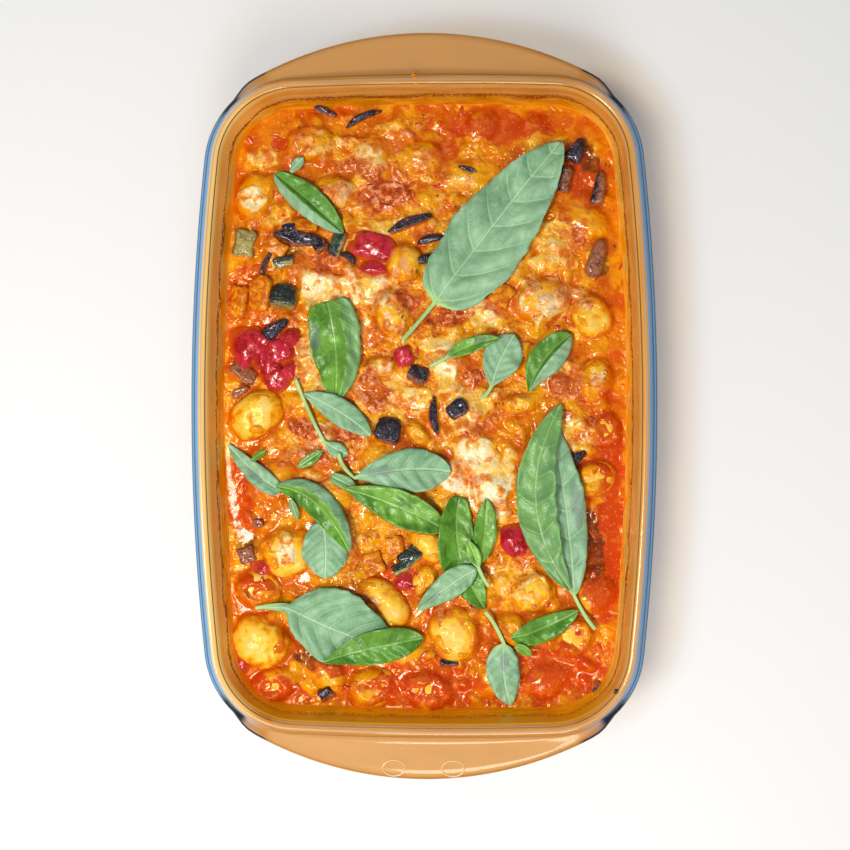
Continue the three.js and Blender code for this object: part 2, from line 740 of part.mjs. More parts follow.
// Rows of a leaf from stalk to tip: midrib point, direction, half widths, thickness
function leafRows(leaf) {
  const rows = [];
  const blade = midrib(leaf.base, leaf.mid, leaf.tip);
  const steps = Math.max(5, Math.round(blade.getLength() / BLADE_ROW_SPACING));
  if (leaf.stem) {
    const first = blade.getTangentAt(0).multiplyScalar(-3);
    const half = [
      (leaf.stem[0] + leaf.base[0]) / 2 + first.x / 2,
      (leaf.stem[1] + leaf.base[1]) / 2 + first.y / 2,
    ];
    const stalk = midrib(leaf.stem, half, leaf.base);
    const stalkSteps = Math.max(2, Math.round(stalk.getLength() / STALK_ROW_SPACING));
    for (let k = 0; k < stalkSteps; k += 1) {
      rows.push({
        at: stalk.getPoint(k / stalkSteps),
        along: stalk.getTangent(k / stalkSteps),
        left: STEM_HALF_WIDTH,
        right: STEM_HALF_WIDTH,
        t: 0,
        thick: STEM_THICKNESS,
      });
    }
  }
  for (let k = 0; k <= steps; k += 1) {
    const t = k / steps;
    const share = bladeWidth(t, leaf.widest, leaf.blunt || 0);
    const least = k === 0 ? STEM_HALF_WIDTH : TIP_HALF_WIDTH;
    rows.push({
      at: blade.getPoint(t),
      along: blade.getTangent(t),
      left: Math.max(leaf.left * share, least),
      right: Math.max(leaf.right * share, least),
      t,
      thick: k === 0 && leaf.stem ? STEM_THICKNESS : LEAF_THICKNESS,
    });
  }
  return rows;
}

// Heights for a leaf's points: laid over the relief, evened out, then lifted clear
function layOver(points, relief, radius) {
  const floor = points.map((row) => row.map((p) => relief.highest(p.x, p.y, radius)));
  let level = floor.map((row) => [...row]);
  for (let pass = 0; pass < EVENING_PASSES; pass += 1) {
    level = level.map((row, i) =>
      row.map((z, j) => {
        const near = [z, z];
        if (i > 0) near.push(level[i - 1][j]);
        if (i + 1 < level.length) near.push(level[i + 1][j]);
        if (j > 0) near.push(row[j - 1]);
        if (j + 1 < row.length) near.push(row[j + 1]);
        const mean = near.reduce((sum, value) => sum + value, 0) / near.length;
        return Math.max(mean, floor[i][j]);
      }),
    );
  }
  return level;
}

function basilLeaf(leaf, relief) {
  const rows = leafRows(leaf);
  const wide = Math.max(leaf.left, leaf.right);
  const across = wide > NARROW_LEAF ? 4 : 2;
  const points = rows.map((row) => {
    const side = new THREE.Vector2(-row.along.y, row.along.x);
    const line = [];
    for (let j = 0; j <= across; j += 1) {
      const v = (2 * j) / across - 1;
      const reach = v * (v < 0 ? row.right : row.left);
      const x = row.at.x + side.x * reach;
      const y = row.at.y + side.y * reach;
      line.push({ x, y, reach: Math.abs(reach), v });
    }
    return line;
  });
  const level = layOver(points, relief, Math.max(NARROW_LEAF, wide / across));
  const under = [];
  const over = [];
  rows.forEach((row, i) => {
    points[i].forEach((p, j) => {
      const wave = LEAF_WAVE * p.reach * (1 + Math.sin(9 * row.t + 2 * p.v));
      const lift = leaf.cup * p.reach + wave + (leaf.curl || 0) * row.t ** 3;
      const z = level[i][j] + LEAF_CLEARANCE + lift;
      under.push([p.x, p.y, z]);
      over.push([p.x, p.y, z + row.thick]);
    });
  });
  return thinSolid(under, over, rows.length, across + 1);
}

// A closed solid between two grids of points that are split into triangles alike
function thinSolid(under, over, rows, columns) {
  const count = rows * columns;
  const index = [];
  const edge = [];
  for (let i = 0; i + 1 < rows; i += 1) {
    for (let j = 0; j + 1 < columns; j += 1) {
      const a = i * columns + j;
      const b = a + 1;
      const c = a + columns;
      const d = c + 1;
      index.push(a, b, d, a, d, c);
      index.push(count + a, count + d, count + b, count + a, count + c, count + d);
    }
  }
  for (let j = 0; j + 1 < columns; j += 1) edge.push(j);
  for (let i = 0; i + 1 < rows; i += 1) edge.push(i * columns + columns - 1);
  for (let j = columns - 1; j > 0; j -= 1) edge.push((rows - 1) * columns + j);
  for (let i = rows - 1; i > 0; i -= 1) edge.push(i * columns);
  edge.forEach((a, k) => {
    const b = edge[(k + 1) % edge.length];
    index.push(a, count + b, b, a, count + a, count + b);
  });
  const geometry = new THREE.BufferGeometry();
  geometry.setAttribute("position", new THREE.Float32BufferAttribute([...under, ...over].flat(), 3));
  geometry.setIndex(index);
  return geometry;
}

function basilLeaves(relief) {
  return LEAVES.map((leaf, k) => {
    const geometry = basilLeaf(leaf, relief);
    const colour = leaf.pale ? COLOURS.basilPale : COLOURS.basil;
    const mesh = named("basil_leaf_" + (k + 1), geometry, colour, 0.55);
    relief.add(mesh);
    return mesh;
  });
}

const bake = gnocchiBake();
const vegetables = vegetablePieces();
const relief = new Relief();
relief.add(bake);
vegetables.forEach((mesh) => relief.add(mesh));
const leaves = basilLeaves(relief);

const part = new THREE.Group();
part.add(glassDish(), bake, ...vegetables, ...leaves);

export default part;
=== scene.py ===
# A glass oven dish of gnocchi baked in tomato sauce with vegetables, under melted
# cheese and strewn with basil. Lengths are millimetres unless a name says otherwise:
# +X across the dish, +Y along it, +Z up, with the foot on Z = 0.
import math

import bpy
import numpy as np
from mathutils import Matrix, Vector


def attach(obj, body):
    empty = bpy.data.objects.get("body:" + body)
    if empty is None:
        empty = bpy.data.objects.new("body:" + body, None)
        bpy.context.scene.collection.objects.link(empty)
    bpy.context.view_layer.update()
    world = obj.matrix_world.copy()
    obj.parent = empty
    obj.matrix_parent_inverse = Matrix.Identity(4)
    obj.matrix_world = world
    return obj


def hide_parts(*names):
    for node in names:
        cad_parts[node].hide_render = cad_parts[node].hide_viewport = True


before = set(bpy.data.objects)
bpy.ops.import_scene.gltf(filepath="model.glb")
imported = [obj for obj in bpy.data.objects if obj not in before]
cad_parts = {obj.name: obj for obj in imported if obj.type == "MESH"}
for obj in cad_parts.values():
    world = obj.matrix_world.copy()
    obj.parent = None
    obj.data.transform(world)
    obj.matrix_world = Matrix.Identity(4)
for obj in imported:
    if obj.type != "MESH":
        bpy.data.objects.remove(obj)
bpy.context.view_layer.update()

MM = 0.001
BODY = "root"

# The dish, as its solid has it
DISH_HALF_WIDTH = 109.5
DISH_HALF_LENGTH = 157.5
DISH_HEIGHT = 62
CORNER_RADIUS = 44
SIDE_BOW_RADIUS = 1100
END_BOW_RADIUS = 1500
FLOOR_THICKNESS = 5.5
FLOOR_EDGE_HEIGHT = 6.6
HEEL_HEIGHT = 11
OUTER_KNEE = 18
INNER_KNEE = 24
WALL_SLOPE = 0.3
WALL_INSET_OUTSIDE = 5.5
WALL_INSET_INSIDE = 8.7
FLANGE_UNDERSIDE = 51
FLANGE_TOP = 58
RIM_INNER_EDGE = 59
HANDLE_TIP = 175
HANDLE_ARC_RADIUS = 165
HANDLE_BLEND = 1.6
HANDLE_FADE = (0.72, 0.9)
CORNER_ROUNDS = 60
HEEL_INSET = 23.5
FLOOR_EDGE_INSET = 29
FLOOR_INSET = 36
WALL_MIDDLE_OUTSIDE = 36
WALL_MIDDLE_INSIDE = 42
STATIONS_PER_SIDE = 40
STATIONS_PER_CORNER = 18
STATIONS_PER_END = 44
SECTION_STEPS = 4
LONG_SIDE_FADE = (0.2, 0.95)
FRONT_FADE = (0.3, 0.9)

# The food, as its solid has it
FOOD_EDGE_LEVEL = 43
FOOD_CROWN = 2.2
FOOD_SWELL = 0.8
FOOD_RIPPLE = 0.5
FOOD_HALF_WIDTH = 95
FOOD_HALF_LENGTH = 143
GNOCCO_HEIGHT = 17
SPREAD_LENGTH = (24, 29)
SPREAD_WIDTH = (18, 22)
SPREAD_RISE = (2, 4)
GNOCCHI_SPACING = 22
GNOCCHI_WALL_MARGIN = 9
VEGETABLE_MARGIN = 8
PEELED_FROM = 78
LEAN = 24
ATTEMPTS = 4000
SEED = 41

# The bake's surface, finer than its solid's
BAKE_GRID = 0.86
SNAP_OUT = 0.6
SNAP_IN = 0.4
HOLLOW_RADII = (3, 2)
WALL_REACH = 0.8
WALL_ROWS = 12
FLOOR_REACH = 0.3
EDGE_FADE = 6
NOISE_CELLS = 64
FAR_BELOW = -9.0
SAUCE_SINK = 0.6
CHEESE_DEPTH = 1.3
CLIMB = 2.2
BARE_PER_RISE = 0.36
SUNK_RISE = 3.9
MENISCUS = 0.55
MENISCUS_WIDTH = 2.2
LUMP_TRIES = 1500
LUMP_LENGTH = (8, 14)
LUMP_SHARE = (0.55, 0.9)
LUMP_RISE = (0.4, 1.9)
LUMP_SPACING = 0.36
LUMP_FALL = 0.24

# Gnocchi and vegetables
GNOCCO_SEGMENTS = 30
GNOCCO_RINGS = 18
SAME_TONE_UP_TO = -75
VEGETABLE_SEGMENTS = 28
VEGETABLE_RINGS = 18
STANDS_OUT = 0.3

# Basil
RELIEF_STEP = 1.0
LEAF_STEP = 1.3
LEAF_THICKNESS = 0.5
STEM_HALF_WIDTH = 0.9
STEM_THICKNESS = 1.6
LEAF_CLEARANCE = 0.35
TIP_HALF_WIDTH = 0.3
BLADE_FULLNESS = 0.62
LEAF_LUMP = 6
EDGE_WANDER = 12
EDGE_WANDER_SHARE = 0.07
TOOTH_LENGTH = 2.2
TOOTH_SHARE = 0.03
TOOTHED_FROM = 0.6
WAVE_SHARE = 0.1
FOLD_WIDTH = 0.22
RIB_HEIGHT = 0.45
RIB_WIDTH = 0.8
VEIN_HEIGHT = 0.75
CREASE_HEIGHT = 0.9
BROAD_LEAF = 8
SETTLE_ROUNDS = 30
SETTLE_NEAR = 2
SETTLE_FAR = 4

# The film, the ovals and the spills on the glass
FILM_THICKNESS = 0.12
FILM_ROWS = 14
FILM_STATIONS = (120, 40, 120)
FILM_DIP = 3
HANDLE_OVALS = (-13.4, 14.3)
OVAL_Y = 169.4
OVAL_RADII = (5.2, 3.6, 0)
OVAL_WIDTH = 0.5
OVAL_HEIGHT = 0.35
OVAL_STEPS = 32
OVAL_SIDES = 8
# Smear on the back rim: inset, place across, size
SMEAR = [(1.2, -3.4, 1.5), (2.6, -2.6, 1.3), (3.6, -4.0, 1.2), (5.0, -3.2, 0.9), (7.2, -2.8, 0.8)]
SMEAR_HEIGHT = 0.28
SPECK_SIZE = (1.2, 1.1, 0.4)
SPECK_DEGREES = 33
SPECK_INSET = 7.4
SPILL_SEGMENTS = 14
SPILL_RINGS = 8

# Bits scattered over the sauce
SCATTER_LIMIT = 0.62
SCATTER_TURN = ((-0.2, -0.2, 0.0), (0.2, 0.2, 6.28))
SCATTER_GROWTH = ((0.4, 0.5, 0.6), (1.5, 1.3, 1.3))

# How deep light goes into the food and into a leaf
GLOW_DEPTH = 1.5
LEAF_GLOW_DEPTH = 1
# Darker and lighter skin, then darker and lighter flesh
AUBERGINE_COLOURS = (
    (0.004, 0.003, 0.012),
    (0.07, 0.04, 0.07),
    (0.11, 0.022, 0.01),
    (0.36, 0.12, 0.045),
)
COURGETTE_COLOURS = (
    (0.006, 0.016, 0.014),
    (0.05, 0.09, 0.04),
    (0.16, 0.13, 0.03),
    (0.45, 0.36, 0.10),
)

# The floor, the light and the camera
FLOOR_HALF_WIDTH = 3000
FLOOR_COLOUR = (0.93, 0.93, 0.93)
SKY_COLOUR = (0.94, 0.97, 1.0, 1.0)
SKY_STRENGTH = 0.25
LAMP_COLOUR = (1.0, 0.98, 0.95)
LAMP_TARGET = (0, 0, 40)
# Name, place, width of the square lamp, watts
LAMPS = [("key", (-330, -180, 1000), 200, 6.8), ("fill", (60, -660, 880), 320, 4.25)]
CAMERA_AIM = (1.4, -8.9, 62)
CAMERA_PLACE = (41, -8.9, 812)
SENSOR_WIDTH = 36
LENS_LENGTH = 68.4


# Shader helpers


class Wire:
    """A value or a colour on its way through the nodes of a paint."""

    def __init__(self, paint, socket):
        self.paint = paint
        self.socket = socket

    def maths(self, operation, *values):
        return self.paint.node("ShaderNodeMath", {"operation": operation}, dict(enumerate(values)))

    def __add__(self, other):
        return self.maths("ADD", self, other)

    def __radd__(self, other):
        return self.maths("ADD", other, self)

    def __sub__(self, other):
        return self.maths("SUBTRACT", self, other)

    def __rsub__(self, other):
        return self.maths("SUBTRACT", other, self)

    def __mul__(self, other):
        return self.maths("MULTIPLY", self, other)

    def __rmul__(self, other):
        return self.maths("MULTIPLY", other, self)

    def __truediv__(self, other):
        return self.maths("DIVIDE", self, other)

    def __abs__(self):
        return self.maths("ABSOLUTE", self)

    def fraction(self):
        return self.maths("FRACT", self)

    def at_most(self, other):
        return self.maths("MINIMUM", self, other)

    def at_least(self, other):
        return self.maths("MAXIMUM", self, other)

    def step(self, low, high):
        """0 below low, 1 above high, smooth between; low may be the larger."""
        ends = {"Value": self, "From Min": low, "From Max": high}
        return self.paint.node("ShaderNodeMapRange", {"interpolation_type": "SMOOTHSTEP"}, ends)


class Paint:
    """A material, made of nodes that are written as expressions."""

    def __init__(self, name):
        self.material = bpy.data.materials.new(name)
        self.material.use_nodes = True
        self.tree = self.material.node_tree
        self.tree.nodes.clear()

    def node(self, kind, settings=None, inputs=None, output=0):
        made = self.tree.nodes.new(kind)
        for key, value in (settings or {}).items():
            setattr(made, key, value)
        for key, value in (inputs or {}).items():
            self.feed(made.inputs[key], value)
        return Wire(self, made.outputs[output])

    def feed(self, socket, value):
        if isinstance(value, Wire):
            self.tree.links.new(value.socket, socket)
        elif socket.type == "RGBA":
            socket.default_value = (*value, 1.0)
        else:
            socket.default_value = value

    def place(self):
        return self.node("ShaderNodeTexCoord", output="Object")

    def coordinate(self, axis):
        """Place along one axis: 0 across the dish, 1 along it, 2 up."""
        return self.node("ShaderNodeSeparateXYZ", {}, {0: self.place()}, output=axis)

    def attribute(self, name):
        return self.node("ShaderNodeAttribute", {"attribute_name": name}, output="Fac")

    def attributes(self, *names):
        return [self.attribute(name) for name in names]

    def join(self, x, y):
        return self.node("ShaderNodeCombineXYZ", {}, {0: x, 1: y})

    def noise(self, size, vector=None, detail=2.0, roughness=0.5, distortion=0.0):
        """Noise about 0.5 with lumps about size millimetres wide."""
        inputs = {
            "Vector": vector or self.place(),
            "Scale": 1 / (size * MM),
            "Detail": detail,
            "Roughness": roughness,
            "Distortion": distortion,
        }
        return self.node("ShaderNodeTexNoise", {}, inputs)

    def cells(self, size, vector=None, feature="F1"):
        """Distance from the middles or the edges of cells about size millimetres wide."""
        inputs = {"Vector": vector or self.place(), "Scale": 1 / (size * MM)}
        return self.node("ShaderNodeTexVoronoi", {"feature": feature}, inputs)

    def mix(self, factor, first, second):
        inputs = {0: factor, 6: first, 7: second}
        return self.node("ShaderNodeMix", {"data_type": "RGBA"}, inputs, output=2)

    def bump(self, height, strength, distance):
        inputs = {"Height": height, "Strength": strength, "Distance": distance * MM}
        return self.node("ShaderNodeBump", {}, inputs)

    def principled(self, **sockets):
        names = {key.replace("_", " "): value for key, value in sockets.items()}
        return self.node("ShaderNodeBsdfPrincipled", {}, names)

    def see_through(self, colour):
        return self.node("ShaderNodeBsdfTransparent", {}, {"Color": colour})

    def blend(self, factor, first, second):
        return self.node("ShaderNodeMixShader", {}, {0: factor, 1: first, 2: second})

    def finish(self, shader):
        output = self.tree.nodes.new("ShaderNodeOutputMaterial")
        self.tree.links.new(shader.socket, output.inputs["Surface"])
        return self.material


# Mesh helpers


def put_in_scene(name, data):
    """Puts a mesh, a lamp or a camera in the scene."""
    thing = bpy.data.objects.new(name, data)
    bpy.context.scene.collection.objects.link(thing)
    return thing


def finish_piece(name, mesh, material):
    """A smooth piece of one material."""
    mesh.polygons.foreach_set("use_smooth", [True] * len(mesh.polygons))
    mesh.materials.append(material)
    mesh.update()
    return put_in_scene(name, mesh)


def make_piece(name, points, faces, material, layers=None):
    """A piece from points in millimetres; each layer holds one value for each point."""
    mesh = bpy.data.meshes.new(name)
    mesh.from_pydata((np.asarray(points, float) * MM).tolist(), [], [tuple(f) for f in faces])
    for key, values in (layers or {}).items():
        layer = mesh.attributes.new(key, "FLOAT", "POINT")
        layer.data.foreach_set("value", np.asarray(values, np.float32))
    return finish_piece(name, mesh, material)


def declare(piece, nodes=()):
    """Says what carries a piece and which solids it stands for."""
    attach(piece, BODY)
    if nodes:
        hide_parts(*nodes)


def grid_faces(rows, columns, first=0, closed=False):
    """Faces of a grid of points that are numbered row by row."""
    faces = []
    last = columns if closed else columns - 1
    for i in range(rows - 1):
        for j in range(last):
            k = (j + 1) % columns
            a = first + i * columns
            b = a + columns
            faces.append((a + j, a + k, b + k, b + j))
    return faces


def band(upper, lower):
    """Faces from one closed loop of point numbers down to another."""
    count = len(upper)
    faces = []
    for k in range(count):
        n = (k + 1) % count
        faces.append((upper[n], upper[k], lower[k], lower[n]))
    return faces


def walked(plan):
    """Distance along a line of points up to each of them."""
    return np.concatenate([[0], np.cumsum(np.linalg.norm(np.diff(plan, axis=0), axis=1))])


def smoothstep(value, low, high):
    """0 below low, 1 above high, smooth between; low may be the larger."""
    t = np.clip((value - low) / (high - low), 0, 1)
    return t * t * (3 - 2 * t)


def lump_noise(x, y, size, seed):
    """Smooth noise from -1 to 1 in lumps about size wide."""
    table = np.random.default_rng(seed).uniform(-1, 1, (NOISE_CELLS, NOISE_CELLS))
    u = np.asarray(x) / size
    v = np.asarray(y) / size
    i = np.floor(u).astype(int)
    j = np.floor(v).astype(int)
    fu = (u - i) ** 2 * (3 - 2 * (u - i))
    fv = (v - j) ** 2 * (3 - 2 * (v - j))
    i, j = i % NOISE_CELLS, j % NOISE_CELLS
    k, m = (i + 1) % NOISE_CELLS, (j + 1) % NOISE_CELLS
    low = table[i, j] * (1 - fu) + table[k, j] * fu
    high = table[i, m] * (1 - fu) + table[k, m] * fu
    return low * (1 - fv) + high * fv


def ridges(x, y, size, seed):
    """Crumpled noise from -1 to 1, with rounded lumps and sharp valleys between them."""
    turn_x = 0.8 * x + 0.6 * y
    turn_y = 0.8 * y - 0.6 * x
    warp = 0.5 * size * lump_noise(x, y, 1.7 * size, seed + 40)
    folds = np.abs(lump_noise(turn_x + warp, turn_y - warp, size, seed))
    return 2 * np.sqrt(folds) - 1.1


def random(seed):
    """The same seeded draws as the solids were spread by."""
    whole = 0xFFFFFFFF
    state = seed

    def draw():
        nonlocal state
        state = (state + 0x6D2B79F5) & whole
        t = ((state ^ (state >> 15)) * (1 | state)) & whole
        t = ((t + (((t ^ (t >> 7)) * (61 | t)) & whole)) & whole) ^ t
        return (t ^ (t >> 14)) / (whole + 1)

    return draw


# The dish


def corner_centre():
    """Middle of the corner's arc, and of the bows of the side and of the end that it meets."""
    side_centre = DISH_HALF_WIDTH - SIDE_BOW_RADIUS
    end_centre = DISH_HALF_LENGTH - END_BOW_RADIUS
    x = DISH_HALF_WIDTH - CORNER_RADIUS
    y = DISH_HALF_LENGTH - CORNER_RADIUS
    for _ in range(CORNER_ROUNDS):
        x = side_centre + math.sqrt((SIDE_BOW_RADIUS - CORNER_RADIUS) ** 2 - y * y)
        y = end_centre + math.sqrt((END_BOW_RADIUS - CORNER_RADIUS) ** 2 - x * x)
    return x, y, side_centre, end_centre


CORNER_X, CORNER_Y, SIDE_CENTRE, END_CENTRE = corner_centre()
SIDE_ANGLE = math.atan2(CORNER_Y, CORNER_X - SIDE_CENTRE)
END_ANGLE = math.atan2(CORNER_Y - END_CENTRE, CORNER_X)


def outline_stations(per_side, per_corner, per_end):
    """Stations round the dish: arc centre x, y, arc radius, and direction outwards x, y."""
    stations = []
    for sx, sy, turn in [(1, 1, 1), (-1, 1, -1), (-1, -1, 1), (1, -1, -1)]:
        quarter = [
            (SIDE_CENTRE, 0, SIDE_BOW_RADIUS, 0, SIDE_ANGLE, per_side // 2),
            (CORNER_X, CORNER_Y, CORNER_RADIUS, SIDE_ANGLE, END_ANGLE, per_corner),
            (0, END_CENTRE, END_BOW_RADIUS, END_ANGLE, math.pi / 2, per_end // 2),
        ]
        run = []
        for cx, cy, radius, start, end, steps in quarter:
            for k in range(steps):
                angle = start + (end - start) * k / steps
                run.append((cx, cy, radius, math.cos(angle), math.sin(angle)))
        run.append((0, END_CENTRE, END_BOW_RADIUS, 0, 1))
        if turn < 0:
            run.reverse()
        run.pop()
        stations += [(sx * cx, sy * cy, r, sx * nx, sy * ny) for cx, cy, r, nx, ny in run]
    return np.array(stations, float)


def station_points(stations, inset):
    """Points inside the outline by the inset, one for each station."""
    cx, cy, radius, nx, ny = stations.T
    return np.stack([cx + (radius - inset) * nx, cy + (radius - inset) * ny], axis=1)


def handle_reach(stations):
    """How far the handle stands out of the body's outline at each station."""
    x, y = station_points(stations, 0).T
    nx, ny = stations[:, 3], stations[:, 4]
    dy = np.abs(y) - (HANDLE_TIP - HANDLE_ARC_RADIUS)
    b = x * nx + dy * np.abs(ny)
    c = x * x + dy * dy - HANDLE_ARC_RADIUS**2
    reach = -b + np.sqrt(np.maximum(b * b - c, 0))
    smooth = (reach + np.sqrt(reach * reach + HANDLE_BLEND**2)) / 2
    return smooth * smoothstep(np.abs(ny), *HANDLE_FADE)


def wall_outside(z):
    return WALL_INSET_OUTSIDE + (FLANGE_UNDERSIDE - z) * WALL_SLOPE


def wall_inside(z):
    return WALL_INSET_INSIDE + (RIM_INNER_EDGE - z) * WALL_SLOPE


def dish_section():
    """Inset, height and share of the handle's push, from the foot round to the floor."""
    return np.array(
        [
            (33.5, 0, 0),
            (32, 0, 0),
            (24.5, 1.8, 0),
            (19.2, 6.5, 0),
            (wall_outside(OUTER_KNEE), OUTER_KNEE, 0),
            (wall_outside(WALL_MIDDLE_OUTSIDE), WALL_MIDDLE_OUTSIDE, 0),
            (WALL_INSET_OUTSIDE, FLANGE_UNDERSIDE, 0),
            (2, FLANGE_UNDERSIDE + 1.2, 1),
            (0, FLANGE_UNDERSIDE + 3.2, 1),
            (0.3, FLANGE_TOP - 1.4, 1),
            (1.8, FLANGE_TOP, 1),
            (2.4, FLANGE_TOP + 0.7, 0),
            (3.4, DISH_HEIGHT - 0.7, 0),
            (5.4, DISH_HEIGHT, 0),
            (7.6, DISH_HEIGHT - 0.8, 0),
            (WALL_INSET_INSIDE, RIM_INNER_EDGE, 0),
            (wall_inside(WALL_MIDDLE_INSIDE), WALL_MIDDLE_INSIDE, 0),
            (wall_inside(INNER_KNEE), INNER_KNEE, 0),
            (HEEL_INSET, HEEL_HEIGHT, 0),
            (FLOOR_EDGE_INSET, FLOOR_EDGE_HEIGHT, 0),
            (FLOOR_INSET, FLOOR_THICKNESS, 0),
            (37.5, FLOOR_THICKNESS, 0),
        ],
        float,
    )


def smooth_line(points, steps):
    """Points on a smooth line through the given ones, without overshoot."""
    out = []
    for k in range(len(points) - 1):
        before = points[max(k - 1, 0)]
        start, end = points[k], points[k + 1]
        after = points[min(k + 2, len(points) - 1)]
        span = np.linalg.norm((end - start)[:2])
        leave = (end - before) * span / max(np.linalg.norm((end - before)[:2]), 1e-6)
        arrive = (after - start) * span / max(np.linalg.norm((after - start)[:2]), 1e-6)
        for s in range(steps):
            t = s / steps
            h1 = 2 * t**3 - 3 * t**2 + 1
            h2 = t**3 - 2 * t**2 + t
            h3 = -2 * t**3 + 3 * t**2
            h4 = t**3 - t**2
            out.append(h1 * start + h2 * leave + h3 * end + h4 * arrive)
    out.append(points[-1])
    return np.array(out)


def ring_points(stations, inset, z):
    plan = station_points(stations, inset)
    return np.column_stack([plan, np.full(len(plan), z)])


def on_long_side(stations):
    """1 along the dish's long sides, 0 across its ends."""
    return smoothstep(np.abs(stations[:, 3]), *LONG_SIDE_FADE)


def dish_piece(material):
    """Glass from the foot round the wall, the rim and the handles to the floor."""
    stations = outline_stations(STATIONS_PER_SIDE, STATIONS_PER_CORNER, STATIONS_PER_END)
    section = smooth_line(dish_section(), SECTION_STEPS)
    section = np.clip(section, 0, (np.inf, DISH_HEIGHT, 1))
    reach = handle_reach(stations)
    rings = []
    for inset, z, push in section:
        rings.append(ring_points(stations, inset - push * reach, z))
    count = len(stations)
    layers = {
        "around": np.tile(walked(station_points(stations, 0)), len(rings)),
        "inset": np.repeat(section[:, 0], count),
        "long_side": np.tile(on_long_side(stations), len(rings)),
    }
    faces = grid_faces(len(rings), count, closed=True)
    last = (len(rings) - 1) * count
    faces.append(tuple(range(count - 1, -1, -1)))
    faces.append(tuple(range(last, last + count)))
    piece = make_piece("dish", np.vstack(rings), faces, material, layers)
    declare(piece, ["glass_dish"])


# The food's form


def food_level(x, y):
    """Height of the food between what rises out of it."""
    u = np.abs(x) / FOOD_HALF_WIDTH
    v = np.abs(y) / FOOD_HALF_LENGTH
    crown = FOOD_CROWN * (1 - np.minimum(np.maximum(u, v), 1) ** 4)
    swell = FOOD_SWELL * np.sin(x / 17 + 1.3) * np.sin(y / 23 + 0.4)
    ripple = FOOD_RIPPLE * np.sin(x / 9 + y / 13)
    return FOOD_EDGE_LEVEL + crown + swell + ripple


def top_of(x, y, rise):
    """Height of the top of a thing that rises out of the food."""
    return float(food_level(x, y)) + rise


# Gnocchi that show plainly: x, y, length, width, angle in degrees, rise
PLAIN_GNOCCHI = [
    (-80, -4, 28, 21, 35, 6),
    (-78, -112, 29, 24, -20, 6.5),
    (-19, -94, 30, 18, -48, 6),
    (15, -108, 27, 24, -60, 5.5),
    (2, -66, 23, 14, -40, 5),
    (0, -83, 17, 12, 60, 4),
    (-25, -134, 26, 20, 20, 3.5),
    (2, -135, 26, 20, -10, 3.5),
    (-72, -133, 26, 18, 20, 3),
    (-9, 68, 19, 17, 80, 6),
    (-15, 44, 24, 17, 100, 5),
    (-20, 19, 17, 10, 0, 3),
    (-3, -13, 16, 10, -50, 3),
    (56, 50, 28, 21, 8, 5.5),
    (80, 43, 22, 19, -60, 5.5),
    (81, 12, 23, 17, 75, 4.5),
    (45, 1, 19, 10, 5, 3.5),
    (86, -12, 18, 15, 80, 4),
    (81, -34, 21, 17, 15, 5),
    (52, -88, 23, 19, 30, 4.5),
    (71, -110, 24, 18, 50, 4),
    (41, -106, 22, 17, -15, 3.5),
    (-79, -88, 25, 19, -20, 3.5),
    (-65, -69, 27, 23, 25, 5),
    (-55, 125, 26, 20, 10, 3.5),
    (-81, 101, 26, 19, 70, 4),
]

# Vegetables that show on top: kind, x, y, length, width, height, angle, rise
VEGETABLES = [
    ("tomato", -25, 75, 21, 13, 9, -12, 4.5),
    ("tomato", -85.5, 30, 17, 16, 9, 60, 4.5),
    ("tomato", -69, 25, 14, 12, 9, 30, 4.5),
    ("tomato", -71, 12, 12, 11, 8, -15, 4),
    ("tomato", -9, 23, 9, 9, 7, 20, 4),
    ("tomato", 44.5, -63, 15, 14, 9, -50, 4.5),
    ("tomato", -78, -78, 11, 10, 8, 60, 3),
    ("tomato", -9, -83, 11, 9, 8, 0, 3.5),
    ("dice", -17, -12, 12, 11.5, 10, -15, 5.5),
    ("dice", -3, 14.5, 9.5, 8, 8, -25, 4),
    ("dice", 16, -1.5, 10, 8, 8, 35, 4),
    ("dice", 67, 107, 12, 7, 9, 80, 4.5),
    ("wedge", -71, 37.5, 14, 8, 8, 35, 4.5),
    ("wedge", -56, 79.5, 16, 9, 8, -12, 4),
    ("wedge", 72.5, 121, 13, 10, 8, 60, 4),
    ("wedge", 83, 103, 17, 8, 8, 80, 3.5),
    ("wedge", 81.5, 70, 18, 10, 8, 75, 4),
    ("strip", -6, 86, 23, 5, 6, 20, 3.5),
    ("strip", -29, 137, 18, 4, 6, 25, 3),
    ("strip", 5.5, -4, 18, 4, 6, 95, 3),
    ("slice", 3, 80, 14, 8, 5, 14, 3.5),
    ("slice", 2, 70.5, 20, 9, 5, 8, 4),
    ("courgette", -67, 69, 10, 5.5, 6, 15, 3.5),
    ("courgette", -67, 52, 12, 11, 9, -10, 5),
    ("courgette", -86, 78, 13, 10, 8, 80, 4),
    ("courgette", -41, 77, 12, 6, 8, 70, 4),
    ("courgette", -6, -71.5, 12, 8, 8, 40, 4),
    ("pepper", -78, 54, 15, 9, 7, 85, 4),
    ("pepper", -88.5, 50, 14, 7, 7, 80, 3.5),
    ("pepper", -70.5, 76, 10, 6, 6, -30, 3.5),
    ("pepper", 36.5, 53, 10, 9, 8, 60, 4),
    ("pepper", -24, -75, 9, 9, 8, 20, 4),
]

